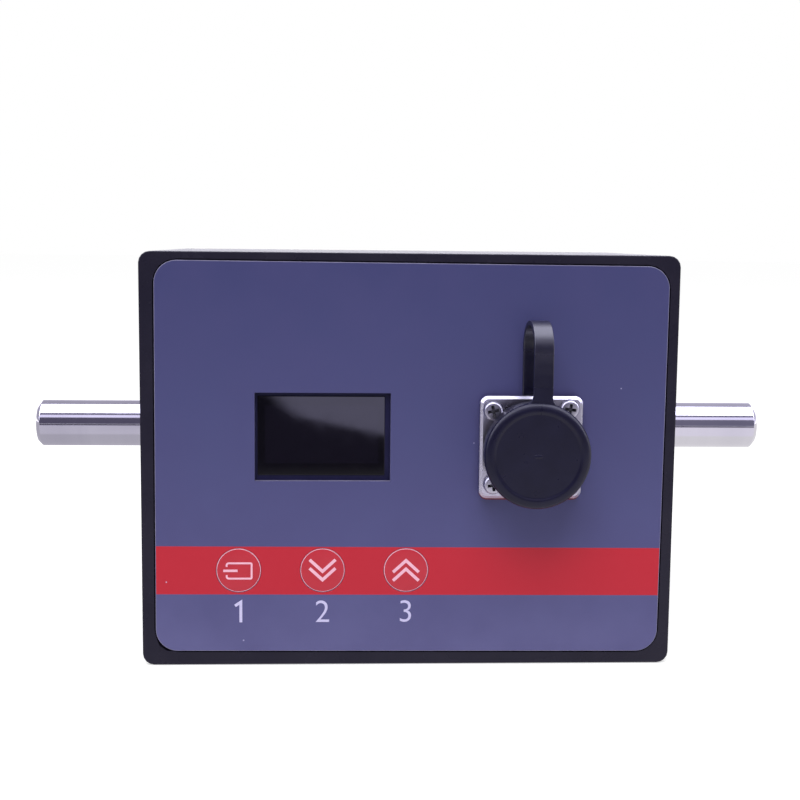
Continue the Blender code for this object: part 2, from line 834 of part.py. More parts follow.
def make_connector():
    middle = (connector_x, connector_z)
    outline = rounded(middle, flange_side, flange_side, flange_corner, 3)
    flange = draw_out(outline, flange_front, flange_back, flange_chamfer)
    shell = solid("connector_shell", flange, satin_nickel())
    barrel_radius = barrel_diameter / 2
    tail_radius = tail_diameter / 2
    inside = (flange_front + flange_back) / 2
    barrel = [
        (barrel_front, 0), (barrel_front, barrel_radius - edge_chamfer),
        (barrel_front + edge_chamfer, barrel_radius), (inside, barrel_radius),
        (inside, tail_radius), (tail_back, tail_radius), (tail_back, 0),
    ]
    join(shell, spin_section(barrel, fine_facets, (0, 1, 0), (connector_x, 0, connector_z)))
    lip = tail_back - tail_lip_thickness
    bore = [
        (barrel_front - fit_gap, 0), (barrel_front - fit_gap, barrel_bore / 2),
        (lip, barrel_bore / 2), (lip, tail_lip_bore / 2),
        (tail_back + fit_gap, tail_lip_bore / 2), (tail_back + fit_gap, 0),
    ]
    cut(shell, spin_section(bore, coarse_facets, (0, 1, 0), (connector_x, 0, connector_z)))
    screw_hole = flange_screw_shank + 2 * fit_gap
    places = flange_screw_places()
    cut(shell, *holes(places, screw_hole, flange_front - fit_gap, flange_back + fit_gap, small_facets))

    insert_radius = barrel_bore / 2 - fit_gap
    insert = turned(
        "connector_insert", bar(insert_front, insert_back, insert_radius), dark_plastic(),
        coarse_facets, (0, 1, 0), (connector_x, 0, connector_z),
    )
    turns = [pi / 2 + 2 * pi * step / pin_count for step in range(pin_count)]
    half = pin_circle / 2
    pins = [(connector_x + half * cos(t), connector_z + half * sin(t)) for t in turns]
    pin_hole = pin_cup_diameter + 2 * fit_gap
    cut(insert, *holes(pins, pin_hole, insert_front - fit_gap, insert_back + fit_gap, small_facets))
    for number, (x, z) in enumerate(pins, 1):
        thin, thick = pin_diameter / 2, pin_cup_diameter / 2
        tip = insert_front - pin_reach
        end = insert_back + pin_cup_reach
        section = [
            (tip, 0), (tip, thin / 2), (tip + thin / 2, thin), (insert_front + fit_gap, thin),
            (insert_front + 2 * fit_gap, thick), (end, thick), (end, 0),
        ]
        turned(f"contact_pin_{number}", section, gold_contact(), small_facets, (0, 1, 0), (x, 0, z))


def make_flange_gasket():
    middle = (connector_x + flange_gasket_shift / 2, connector_z - flange_gasket_drop / 2)
    width = flange_side + flange_gasket_shift
    height = flange_side + flange_gasket_drop
    outline = rounded(middle, width, height, flange_corner, 3)
    sheet = draw_out(outline, flange_gasket_front, flange_gasket_back)
    gasket = solid("flange_gasket", sheet, red_gasket())
    ahead, behind = flange_gasket_front - fit_gap, flange_gasket_back + fit_gap
    ring_space = 2 * (strap_ring_radius + fit_gap)
    screw_hole = flange_screw_shank + 2 * fit_gap
    tools = holes(flange_screw_places(), screw_hole, ahead, behind, small_facets)
    cut(gasket, *tools)
    cut(gasket, *holes([(connector_x, connector_z)], ring_space, ahead, behind, coarse_facets))
    slot = rectangle((strap_x, connector_z + flange_side / 2), strap_width + 2 * fit_gap, flange_side)
    cut(gasket, draw_out(slot, ahead, behind))


# Turned rubber cup with a rounded rim and a tab at its top that the strap grows from
def make_dust_cap():
    line = empty("dust_cap_axis", (connector_x, 0, connector_z))
    outer = cap_diameter / 2
    rim = outer - cap_rim_width
    floor = cap_front + cap_rim_height
    section = [(floor, 0), (floor, rim), (cap_front, rim + cap_rim_height)]
    section += [
        (cap_front + cap_rounding * (1 - cos(t)), outer - cap_rounding * (1 - sin(t)))
        for t in (0, pi / 6, pi / 3, pi / 2)
    ]
    section += [(cap_back, outer), (cap_back, cap_bore / 2), (cap_inside, cap_bore / 2)]
    section += [(cap_inside, 0)]
    cap = turned("dust_cap", section, black_rubber(), fine_facets, (0, 1, 0))
    cap.location = line.location
    half = strap_width / 2
    top = outer + cap_tab_height
    root = outer - cap_tab_root
    fillet = cap_tab_fillet
    outline = [(strap_offset_x + half, top)]
    outline += [
        (strap_offset_x + half + fillet * (1 - cos(t)), top - fillet * sin(t))
        for t in (pi / 8, pi / 4, 3 * pi / 8, pi / 2)
    ]
    outline += [(strap_offset_x + half + fillet, root), (strap_offset_x - half - fillet, root)]
    outline += [
        (strap_offset_x - half - fillet * (1 - cos(t)), top - fillet * sin(t))
        for t in (pi / 2, 3 * pi / 8, pi / 4, pi / 8)
    ]
    outline += [(strap_offset_x - half, top)]
    outline = outline[::-1]
    tab_front = strap_front_plane() - strap_thickness / 2
    join(cap, draw_out(outline, tab_front, tab_front + strap_thickness))
    cap.parent = line
    cap.location = (0, 0, 0)


# Middle plane of the strap where it leaves the cap
def strap_front_plane():
    return cap_front + cap_rounding + strap_thickness / 2


def make_strap():
    ahead = strap_front_plane()
    behind = (flange_gasket_front + flange_gasket_back) / 2
    turn_radius = (behind - ahead) / 2
    start = connector_z + cap_diameter / 2 + cap_tab_height + fit_gap
    turn_z = connector_z + cap_diameter / 2 + strap_rise - turn_radius
    half = strap_thickness / 2
    middle = ((ahead + behind) / 2, turn_z)
    outside = arc(middle, turn_radius + half, pi, 0, 12)
    inside = arc(middle, turn_radius - half, 0, pi, 12)
    low = connector_z + tail_hole_diameter / 2 + strap_ring_width / 2
    outline = [(ahead - half, start), *outside, (behind + half, low), (behind - half, low)]
    outline += [*inside, (ahead + half, start)]
    left = strap_x - strap_width / 2
    shape = extruded([(left, y, z) for y, z in outline], (strap_width, 0, 0))
    strap = solid("dust_cap_strap", shape, black_rubber())
    loop = ring(behind - half, behind + half, tail_hole_diameter / 2, strap_ring_radius)
    join(strap, spin_section(loop, coarse_facets, (0, 1, 0), (connector_x, 0, connector_z)))


def groove(outward):
    spread = acos(race_land / groove_radius)
    turns = [-spread + spread * step / 2 for step in range(5)]
    return [(groove_radius * sin(t), ball_circle + outward * groove_radius * cos(t)) for t in turns]


def make_bearing(side, word, rotor):
    half = bearing_width / 2
    place = side * bearing_middle
    bore = bearing_bore / 2 + press_gap
    inner = [(-half, bore), (-half, inner_land), *groove(-1), (half, inner_land), (half, bore)]
    inner_ring = turned(
        f"bearing_inner_{word}", inner, bright_steel(), coarse_facets, middle=(place, 0, 0)
    )
    inner_ring.parent = rotor
    rim = bearing_outer / 2
    outer = [(-half, rim), (-half, outer_land), *groove(1), (half, outer_land), (half, rim)]
    turned(
        f"bearing_outer_{word}", outer, bright_steel(), fine_facets, middle=(place, 0, shaft_height)
    )
    bar_half = cage_width / 2
    wall = cage_wall / 2
    section = ring(-bar_half, bar_half, ball_circle - wall, ball_circle + wall)
    cage = turned(
        f"ball_cage_{word}", section, finish("cage_steel", (0.6, 0.55, 0.4), 0.35, 1.0),
        2 * ball_count, middle=(place, 0, 0), place=(0, 0, shaft_height),
    )
    balls = []
    for step in range(ball_count):
        turn = 2 * pi * (step + 0.5) / ball_count
        spot = (place, ball_circle * cos(turn), ball_circle * sin(turn))
        ball = bmesh.new()
        bmesh.ops.create_icosphere(
            ball, subdivisions=2, radius=ball_diameter / 2, matrix=Matrix.Translation(spot)
        )
        balls.append(ball)
    join(cage, *balls)


def make_carrier(side, word):
    lip_face = body_width / 2 - bearing_inset + fit_gap
    throat = shaft_diameter / 2 + running_gap
    inside, outside = carrier_flange_inside, carrier_flange_outside
    section = [
        (carrier_inner_end, carrier_seat), (carrier_inner_end, carrier_spigot),
        (inside, carrier_spigot), (inside, carrier_flange_radius),
        (outside - edge_chamfer, carrier_flange_radius),
        (outside, carrier_flange_radius - edge_chamfer),
        (outside, throat), (lip_face, throat), (lip_face, carrier_seat),
    ]
    carrier = turned(
        f"bearing_carrier_{word}", on_side(side, section), black_metal(), fine_facets,
        middle=(0, 0, shaft_height),
    )
    shank = carrier_screw_shank / 2
    head = carrier_screw_head / 2
    top = outside - seat_gap
    under_head = top - carrier_screw_head_height
    sunk = under_head - seat_gap
    hole = [
        (inside - fit_gap, 0), (inside - fit_gap, shank + fit_gap), (sunk, shank + fit_gap),
        (sunk, head + fit_gap), (outside + fit_gap, head + fit_gap), (outside + fit_gap, 0),
    ]
    screw = [
        (carrier_screw_tip, 0), (carrier_screw_tip, shank), (under_head, shank),
        (under_head, head), (top, head), (top, 0),
    ]
    hole, screw = on_side(side, hole), on_side(side, screw)
    places = carrier_screw_places()
    cut(carrier, *[spin_section(hole, screw_facets, middle=(0, y, z)) for y, z in places])
    for number, (y, z) in enumerate(places, 1):
        name = f"carrier_screw_{word}_{number}"
        made = turned(name, screw, bright_steel(), screw_facets, middle=(0, y, z))
        socket = bar(side * (top - head / 2), side * (top + fit_gap), head / 2)
        cut(made, spin_section(socket, socket_facets, middle=(0, y, z)))


def make_shaft(rotor):
    seat = seat_diameter / 2
    thin = measuring_diameter / 2
    fillet = seat - thin
    step = measuring_length / 2
    shoulder = bearing_middle - bearing_width / 2 - fit_gap
    journal_end = bearing_middle + bearing_width / 2
    end_radius = shaft_diameter / 2
    centre = centre_hole_diameter / 2
    half = [
        (step + fillet * sin(t), seat - fillet * cos(t)) for t in (0, pi / 4, pi / 2)
    ]
    half += [
        (shoulder, seat), (shoulder, bearing_bore / 2), (journal_end, bearing_bore / 2),
        (journal_end, end_radius), (shaft_end - shaft_end_chamfer, end_radius),
        (shaft_end, end_radius - shaft_end_chamfer), (shaft_end, centre),
        (shaft_end - centre / tan(radians(30)), 0),
    ]
    section = on_side(-1, reversed(half)) + half
    shaft = turned("torsion_shaft", section, bright_steel(), fine_facets)
    shaft.parent = rotor


# A strain gauge is a thin patch that follows the measuring section
def make_strain_gauges(rotor):
    facet = 2 * pi / fine_facets
    steps = round(gauge_spread / facet)
    low = (measuring_diameter / 2 + seat_gap) / cos(facet / 2)
    high = low + gauge_thickness
    for number, middle in ((1, pi / 2), (2, -pi / 2)):
        turns = [middle + (step - steps / 2) * facet for step in range(steps + 1)]
        outline = [(low * cos(t), low * sin(t)) for t in turns]
        outline += [(high * cos(t), high * sin(t)) for t in reversed(turns)]
        start = -gauge_length / 2
        shape = extruded([(start, y, z) for y, z in outline], (gauge_length, 0, 0))
        gauge = solid(f"strain_gauge_{number}", shape, amber_film())
        gauge.parent = rotor


def make_coils(side, word, rotor):
    half = rotor_coil_width / 2
    rim = rotor_coil_radius
    low = rim - winding_depth
    section = [
        (-half, seat_bore), (-half, rim), (-half + coil_flange, rim), (-half + coil_flange, low),
        (half - coil_flange, low), (half - coil_flange, rim), (half, rim), (half, seat_bore),
    ]
    place = side * coil_offset
    coil = turned(
        f"rotor_coil_{word}", section, copper_winding(), coarse_facets, middle=(place, 0, 0)
    )
    coil.parent = rotor
    half = stator_coil_width / 2
    high = stator_bore + winding_depth
    section = [
        (-half, stator_radius), (-half, stator_bore), (-half + coil_flange, stator_bore),
        (-half + coil_flange, high), (half - coil_flange, high), (half - coil_flange, stator_bore),
        (half, stator_bore), (half, stator_radius),
    ]
    turned(
        f"stator_coil_{word}", section, copper_winding(), fine_facets,
        middle=(place, 0, shaft_height),
    )


# A toothed disc: an outline round the shaft, drawn out along X
def make_speed_disc(rotor):
    tip = disc_radius
    root = tip - tooth_depth
    pitch = 2 * pi / disc_teeth
    outline = []
    for tooth in range(disc_teeth):
        start = tooth * pitch - pitch / 4
        rise, drop = tooth_slope, 0.5 - tooth_slope
        for turn, radius in ((0, root), (rise, tip), (drop, tip), (0.5, root)):
            angle = start + turn * pitch
            outline.append((radius * cos(angle), radius * sin(angle)))
    left = disc_offset - disc_thickness / 2
    shape = extruded([(left, y, z) for y, z in outline], (disc_thickness, 0, 0))
    disc = solid("speed_disc", shape, bright_steel())
    bore = bar(left - fit_gap, left + disc_thickness + fit_gap, seat_bore)
    cut(disc, spin_section(bore, coarse_facets))
    disc.parent = rotor


def make_rotor_board(rotor):
    half = rotor_board_thickness / 2
    section = ring(-half, half, seat_bore, rotor_board_radius)
    board = turned(
        "rotor_board", section, green_board(), coarse_facets, middle=(-disc_offset, 0, 0)
    )
    between = (seat_bore + rotor_board_radius) / 2
    chip_x = half - disc_offset + rotor_chip_rise / 2 - seat_gap
    chip = (rotor_chip_rise, rotor_chip_side, rotor_chip_side)
    turns = (0, 2 * pi / 3, 4 * pi / 3)
    chips = [box((chip_x, between * cos(turn), between * sin(turn)), chip) for turn in turns]
    join(board, *chips)
    board.parent = rotor


def make_pickup():
    tip = -disc_radius - running_gap
    seat = bay_floor - seat_gap
    head = pickup_head_diameter / 2
    body = pickup_diameter / 2
    section = [
        (seat - pickup_head_height, 0), (seat - pickup_head_height, head), (seat, head),
        (seat, body), (tip, body), (tip, 0),
    ]
    turned(
        "speed_pickup", section, dark_plastic(), screw_facets, (0, 1, 0),
        (disc_offset, 0, shaft_height),
    )


def build():
    for old in list(bpy.data.objects):
        bpy.data.objects.remove(old)
    make_housing()
    make_frame_gasket()
    make_front_frame()
    make_panel()
    make_frame_screws()
    make_display()
    make_main_board()
    make_board_screws()
    make_keys()
    make_connector()
    make_flange_gasket()
    make_flange_screws()
    make_dust_cap()
    make_strap()
    rotor = empty("shaft_axis", (0, 0, shaft_height))
    make_shaft(rotor)
    make_strain_gauges(rotor)
    make_speed_disc(rotor)
    make_rotor_board(rotor)
    make_pickup()
    for side, word in ((-1, "left"), (1, "right")):
        make_carrier(side, word)
        make_bearing(side, word, rotor)
        make_coils(side, word, rotor)


build()
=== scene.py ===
from math import atan2, cos, degrees, pi, radians, sin, tan

import bmesh
import bpy
from mathutils import Matrix, Vector


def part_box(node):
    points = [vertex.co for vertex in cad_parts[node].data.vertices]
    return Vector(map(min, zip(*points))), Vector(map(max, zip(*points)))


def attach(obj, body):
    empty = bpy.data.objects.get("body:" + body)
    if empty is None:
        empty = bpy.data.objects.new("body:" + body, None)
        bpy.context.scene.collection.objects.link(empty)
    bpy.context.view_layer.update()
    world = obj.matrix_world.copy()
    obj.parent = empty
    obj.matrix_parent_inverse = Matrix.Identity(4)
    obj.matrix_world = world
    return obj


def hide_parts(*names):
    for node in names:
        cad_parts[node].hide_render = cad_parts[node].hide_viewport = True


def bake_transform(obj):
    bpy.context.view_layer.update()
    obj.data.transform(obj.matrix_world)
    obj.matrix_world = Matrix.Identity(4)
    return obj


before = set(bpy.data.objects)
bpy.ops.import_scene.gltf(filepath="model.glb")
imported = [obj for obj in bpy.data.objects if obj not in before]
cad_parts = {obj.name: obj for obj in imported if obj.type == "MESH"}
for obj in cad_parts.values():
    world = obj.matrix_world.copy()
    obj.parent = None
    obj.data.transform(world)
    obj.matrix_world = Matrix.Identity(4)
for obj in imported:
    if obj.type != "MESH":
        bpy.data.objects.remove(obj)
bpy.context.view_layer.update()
print("frame loaded:", len(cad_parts), "nodes")

# Shapes are drawn in millimetres and shrunk to metres when they become a piece.
mm = 0.001
upright = Matrix.Rotation(pi / 2, 4, "X")  # flat drawings in XY stand up and face -Y
tiny = 0.01  # mm; places closer than this are the same


def nodeBox(node):
    low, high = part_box(node)
    return low / mm, high / mm


def nodeMiddle(node):
    low, high = nodeBox(node)
    return (low + high) / 2


# Finishes

def addNode(finish, kind, values=None, **settings):
    # finish is a material, or the world
    node = finish.node_tree.nodes.new(kind)
    for name, value in settings.items():
        setattr(node, name, value)
    for socket, value in (values or {}).items():
        node.inputs[socket].default_value = value
    return node


def join(finish, source, target):
    finish.node_tree.links.new(source, target)


def startFinish(name):
    finish = bpy.data.materials.new(name)
    finish.use_nodes = True
    return finish, finish.node_tree.nodes["Principled BSDF"]


def calculate(finish, kind, first, second):
    total = addNode(finish, "ShaderNodeMath", operation=kind)
    join(finish, first, total.inputs[0])
    join(finish, second, total.inputs[1])
    return total.outputs[0]


def splitPoint(finish, point):
    parts = addNode(finish, "ShaderNodeSeparateXYZ")
    join(finish, point, parts.inputs["Vector"])
    return parts.outputs


def objectPoint(finish, scale=(1, 1, 1), place=(0, 0, 0), turn=(0, 0, 0), kind="POINT"):
    point = addNode(finish, "ShaderNodeTexCoord")
    mapping = addNode(finish, "ShaderNodeMapping", vector_type=kind)
    mapping.inputs["Scale"].default_value = scale
    mapping.inputs["Location"].default_value = place
    mapping.inputs["Rotation"].default_value = turn
    join(finish, point.outputs["Object"], mapping.inputs["Vector"])
    return mapping.outputs["Vector"]


def cloud(finish, size, detail=3.0, stretch=(1, 1, 1)):
    # a soft noise whose lumps are about size millimetres, drawn out along the stretched axes
    lumps = [1 / (size * mm * part) for part in stretch]
    noise = addNode(finish, "ShaderNodeTexNoise", {"Scale": 1.0, "Detail": detail})
    join(finish, objectPoint(finish, lumps), noise.inputs["Vector"])
    return noise.outputs["Fac"]


def between(finish, factor, low, high, edges=(0.3, 0.7)):
    spread = addNode(finish, "ShaderNodeMapRange", {"From Min": edges[0], "From Max": edges[1]})
    spread.inputs["To Min"].default_value = low
    spread.inputs["To Max"].default_value = high
    join(finish, factor, spread.inputs["Value"])
    return spread.outputs["Result"]


def blendColours(finish, factor, first, second, kind="MIX"):
    mix = addNode(finish, "ShaderNodeMix", data_type="RGBA", blend_type=kind)
    for socket, colour in ((mix.inputs[6], first), (mix.inputs[7], second)):
        if isinstance(colour, tuple):
            socket.default_value = (*colour, 1)
        else:
            join(finish, colour, socket)
    join(finish, factor, mix.inputs[0])
    return mix.outputs[2]


def colourRamp(finish, factor, stops):
    ramp = addNode(finish, "ShaderNodeValToRGB")
    elements = ramp.color_ramp.elements
    for number, (place, colour) in enumerate(stops):
        stop = elements[number] if number < 2 else elements.new(1)
        stop.position = place
        stop.color = (*colour, 1)
    join(finish, factor, ramp.inputs["Fac"])
    return ramp.outputs["Color"]


def grain(finish, height, depth):
    # a bump whose full height is depth millimetres
    bump = addNode(finish, "ShaderNodeBump", {"Strength": 1.0, "Distance": depth * mm})
    join(finish, height, bump.inputs["Height"])
    join(finish, bump.outputs["Normal"], finish.node_tree.nodes["Principled BSDF"].inputs["Normal"])


smearShare = 0.6  # size of the smears in a finish's shine, beside the patches in its colour


def makeFinish(name, look):
    # patchSize is in millimetres, and so are the size and depth of the grain
    finish, shader = startFinish(name)
    shader.inputs["Metallic"].default_value = look.get("metallic", 0.0)
    shader.inputs["Specular IOR Level"].default_value = look.get("gloss", 0.5)
    stretch = look.get("stretch", (1, 1, 1))
    patches = cloud(finish, look["patchSize"], stretch=stretch)
    colour = blendColours(finish, between(finish, patches, 0, 1), *look["colours"])
    join(finish, colour, shader.inputs["Base Color"])
    smears = cloud(finish, look["patchSize"] * smearShare, stretch=stretch)
    join(finish, between(finish, smears, *look["roughness"]), shader.inputs["Roughness"])
    size, depth = look["grain"]
    grain(finish, cloud(finish, size, stretch=stretch), depth)
    return finish


blackAnodised = makeFinish("blackAnodised", {
    "colours": ((0.012, 0.0105, 0.022), (0.017, 0.015, 0.028)), "patchSize": 9,
    "roughness": (0.24, 0.30), "grain": (0.14, 0.003), "gloss": 0.18})
rubber = makeFinish("mouldedRubber", {
    "colours": ((0.005, 0.0045, 0.017), (0.007, 0.0065, 0.023)), "patchSize": 4,
    "roughness": (0.27, 0.33), "grain": (0.2, 0.003), "gloss": 0.28})
strapRubber, strapMiddle, strapRoot = [makeFinish(name, {
    "colours": ((0.004, 0.0036, 0.015), (0.006, 0.0055, 0.019)), "patchSize": 3,
    "roughness": (0.21, 0.24), "grain": (0.25, 0.001), "gloss": gloss})
    for name, gloss in (("strapRubber", 0.85), ("strapMiddle", 0.62), ("strapRoot", 0.42))]
bendLook = {"dulling": 0.16, "heights": (0.0605, 0.0655)}  # m along Z


def dullBend(finish, look):
    # stretched rubber over the strap's bend shines more softly
    rough = finish.node_tree.nodes["Principled BSDF"].inputs["Roughness"]
    height = splitPoint(finish, objectPoint(finish))["Z"]
    extra = between(finish, height, 0, look["dulling"], look["heights"])
    join(finish, calculate(finish, "ADD", rough.links[0].from_socket, extra), rough)


dullBend(strapRubber, bendLook)
silicone = makeFinish("redSilicone", {
    "colours": ((0.10, 0.004, 0.012), (0.15, 0.007, 0.018)), "patchSize": 3,
    "roughness": (0.45, 0.6), "grain": (0.3, 0.01)})
sealRubber = makeFinish("sealRubber", {
    "colours": ((0.012, 0.012, 0.014), (0.02, 0.02, 0.024)), "patchSize": 3,
    "roughness": (0.6, 0.75), "grain": (0.25, 0.01)})
groundSteel = makeFinish("groundSteel", {
    "colours": ((0.60, 0.585, 0.645), (0.66, 0.645, 0.70)), "patchSize": 7,
    "roughness": (0.065, 0.11), "grain": (0.035, 0.00035),
    "stretch": (1, 60, 60), "metallic": 1.0})
screwSteel = makeFinish("screwSteel", {
    "colours": ((0.48, 0.47, 0.52), (0.60, 0.59, 0.65)), "patchSize": 1.2,
    "roughness": (0.32, 0.45), "grain": (0.1, 0.004), "metallic": 1.0})
# the screws' cross recesses: painted shade, with lighter patches as painted glints from the recess floor
recessShadeAndGlints = makeFinish("recessShadeAndGlints", {
    "colours": ((0.02, 0.02, 0.028), (0.24, 0.235, 0.28)), "patchSize": 0.6,
    "roughness": (0.35, 0.5), "grain": (0.1, 0.004), "metallic": 0.6})
innerSteel = makeFinish("innerSteel", {
    "colours": ((0.55, 0.55, 0.58), (0.62, 0.62, 0.65)), "patchSize": 4,
    "roughness": (0.16, 0.26), "grain": (0.06, 0.001), "metallic": 1.0})
satinNickel = makeFinish("satinNickel", {
    "colours": ((0.56, 0.545, 0.61), (0.66, 0.645, 0.70)), "patchSize": 6,
    "roughness": (0.24, 0.34), "grain": (0.05, 0.0012),
    "stretch": (14, 1, 1), "metallic": 1.0})
cageSteel = makeFinish("cageSteel", {
    "colours": ((0.50, 0.42, 0.28), (0.60, 0.52, 0.36)), "patchSize": 3,
    "roughness": (0.3, 0.42), "grain": (0.2, 0.004), "metallic": 1.0})
blackPlastic = makeFinish("blackPlastic", {
    "colours": ((0.02, 0.02, 0.022), (0.03, 0.03, 0.033)), "patchSize": 3,
    "roughness": (0.4, 0.55), "grain": (0.15, 0.006)})
goldPlate = makeFinish("goldPlate", {
    "colours": ((0.72, 0.50, 0.20), (0.80, 0.60, 0.27)), "patchSize": 2,
    "roughness": (0.18, 0.28), "grain": (0.08, 0.001), "metallic": 1.0})
solderResist = makeFinish("solderResist", {
    "colours": ((0.01, 0.10, 0.04), (0.03, 0.18, 0.08)), "patchSize": 2,
    "roughness": (0.3, 0.5), "grain": (0.4, 0.01)})
enamelledWire = makeFinish("enamelledWire", {
    "colours": ((0.40, 0.12, 0.04), (0.62, 0.25, 0.09)), "patchSize": 0.35,
    "roughness": (0.25, 0.4), "grain": (0.35, 0.05),
    "stretch": (1, 40, 40), "metallic": 0.9})
gaugeFilm = makeFinish("gaugeFilm", {
    "colours": ((0.45, 0.20, 0.03), (0.62, 0.32, 0.07)), "patchSize": 1.5,
    "roughness": (0.3, 0.45), "grain": (0.2, 0.004)})
paleInk = makeFinish("paleInk", {
    "colours": ((0.53, 0.50, 0.78), (0.60, 0.57, 0.83)), "patchSize": 1.5,
    "roughness": (0.4, 0.5), "grain": (0.15, 0.003)})
# pink ink of the printed key signs, also used as a painted highlight on the keys' rounded rims
pinkInkAndRimHighlight = makeFinish("pinkInkAndRimHighlight", {
    "colours": ((0.82, 0.42, 0.56), (0.88, 0.50, 0.62)), "patchSize": 1.5,
    "roughness": (0.4, 0.5), "grain": (0.15, 0.003)})
keyRed = makeFinish("keyRed", {
    "colours": ((0.47, 0.016, 0.034), (0.50, 0.020, 0.040)), "patchSize": 6,
    "roughness": (0.36, 0.44), "grain": (0.25, 0.004)})
# the display's dark border, tinted navy as painted shade from the window's walls
displayBorderAndShade = makeFinish("displayBorderAndShade", {
    "colours": ((0.008, 0.0075, 0.036), (0.011, 0.010, 0.044)), "patchSize": 2,
    "roughness": (0.5, 0.6), "grain": (0.2, 0.003), "gloss": 0.2})
# the film's cut edges: a paler colour of their own, lightened further as a painted edge highlight
filmEdgeAndHighlight = makeFinish("filmEdgeAndHighlight", {
    "colours": ((0.15, 0.14, 0.25), (0.22, 0.21, 0.33)), "patchSize": 5,
    "roughness": (0.35, 0.5), "grain": (0.3, 0.004)})
print("plain finishes made")

panelLook = {
    "middle": (0.25, 40.4), "skew": 0.25,  # mm, and degrees clockwise
    "paintedLightTones": (
        (-36, (0.110, 0.107, 0.256)), (-20, (0.078, 0.077, 0.208)), (0, (0.064, 0.066, 0.182)),
        (36, (0.043, 0.046, 0.144))),  # mm above the middle, and the colour there: the print's blue, painted lighter towards the bottom as painted light from the floor
    "mottled": (0.062, 0.057, 0.165), "mottling": 0.35, "patchSize": 11,
    "stripe": (0.48, 0.015, 0.033), "stripeLow": -26.5, "stripeHigh": -17.05, "soft": 0.06,
    "roughness": (0.36, 0.44), "smearSize": 7, "grain": (0.3, 0.003), "gloss": 0.32,
    "speckColour": (0.50, 0.48, 0.70), "speckStrength": 0.8, "speckCore": 0.4,
    "specks": ((-46.8, 16.5, 0.18), (40.6, 54.5, 0.16), (-32.0, 4.9, 0.2), (12.3, 43.8, 0.14)),
}


def makeFilm(look):
    film, shader = startFinish("printedFilm")
    shader.inputs["Specular IOR Level"].default_value = look["gloss"]
    x, z = look["middle"]
    point = objectPoint(film, (mm, mm, mm), (x * mm, 0, z * mm), (0, radians(look["skew"]), 0), "TEXTURE")
    rise = splitPoint(film, point)["Z"]
    lowest, highest = look["paintedLightTones"][0][0], look["paintedLightTones"][-1][0]
    # the print's blue with painted light: lighter towards the bottom, darker towards the top
    ground = colourRamp(film, between(film, rise, 0, 1, (lowest, highest)), [
        ((height - lowest) / (highest - lowest), colour) for height, colour in look["paintedLightTones"]])
    patches = cloud(film, look["patchSize"])
    ground = blendColours(film, between(film, patches, 0, look["mottling"]), ground, look["mottled"])

    soft = look["soft"]
    above = between(film, rise, 0, 1, (look["stripeLow"] - soft, look["stripeLow"] + soft))
    below = between(film, rise, 1, 0, (look["stripeHigh"] - soft, look["stripeHigh"] + soft))
    colour = blendColours(film, calculate(film, "MULTIPLY", above, below), ground, look["stripe"])

    # a few pale specks where the print has been nicked
    here = objectPoint(film)
    for speckX, speckZ, radius in look["specks"]:
        reach = addNode(film, "ShaderNodeVectorMath", operation="DISTANCE")
        reach.inputs[1].default_value = (speckX * mm, nodeBox("front_panel")[0].y * mm, speckZ * mm)
        join(film, here, reach.inputs[0])
        edges = (radius * mm * look["speckCore"], radius * mm)
        near = between(film, reach.outputs["Value"], look["speckStrength"], 0, edges)
        colour = blendColours(film, near, colour, look["speckColour"])
    join(film, colour, shader.inputs["Base Color"])
    smears = cloud(film, look["smearSize"])
    join(film, between(film, smears, *look["roughness"]), shader.inputs["Roughness"])
    size, depth = look["grain"]
    grain(film, cloud(film, size), depth)
    return film


printedFilm = makeFilm(panelLook)

glassLook = {
    "colour": (0.0022, 0.002, 0.0036), "screen": (0.0042, 0.0036, 0.0075),
    "middle": (-17.0, 45.2), "screenSize": (21.7, 11.2), "soft": 0.1,
    "roughness": (0.03, 0.06), "smearSize": 3,
}


def makeGlass(look):
    # black glass over a dark display, whose active area is a shade lighter
    glass, shader = startFinish("displayGlass")
    x, z = look["middle"]
    soft = look["soft"]
    parts = splitPoint(glass, objectPoint(glass, (mm, mm, mm), (x * mm, 0, z * mm), kind="TEXTURE"))
    inside = None
    for axis, size in zip("XZ", look["screenSize"]):
        away = addNode(glass, "ShaderNodeMath", operation="ABSOLUTE")
        join(glass, parts[axis], away.inputs[0])
        part = between(glass, away.outputs[0], 1, 0, (size / 2 - soft, size / 2 + soft))
        inside = calculate(glass, "MULTIPLY", inside, part) if inside else part
    join(glass, blendColours(glass, inside, look["colour"], look["screen"]), shader.inputs["Base Color"])
    smears = cloud(glass, look["smearSize"])
    join(glass, between(glass, smears, *look["roughness"]), shader.inputs["Roughness"])
    return glass


displayGlass = makeGlass(glassLook)
print("film and glass made")


# Shapes

def placeObject(name, data):
    thing = bpy.data.objects.new(name, data)
    bpy.context.scene.collection.objects.link(thing)
    return thing


def drawOut(shape, way, edges=None):
    # extrudes a flat shape's faces, or only some edges, along a way
    if edges:
        ends = bmesh.ops.extrude_edge_only(shape, edges=edges)["geom"]
    else:
        ends = bmesh.ops.extrude_face_region(shape, geom=shape.faces[:])["geom"]
    ends = [item for item in ends if isinstance(item, bmesh.types.BMVert)]
    bmesh.ops.translate(shape, vec=way, verts=ends)


def chooseFaces(shape, middle, chosen):
    # the second finish, for faces chosen by their reach from a line along Y and their place along it
    for face in shape.faces:
        centre = face.calc_center_median()
        reach = ((centre.x - middle.x) ** 2 + (centre.z - middle.z) ** 2) ** 0.5
        face.material_index = int(chosen(reach, centre.y))


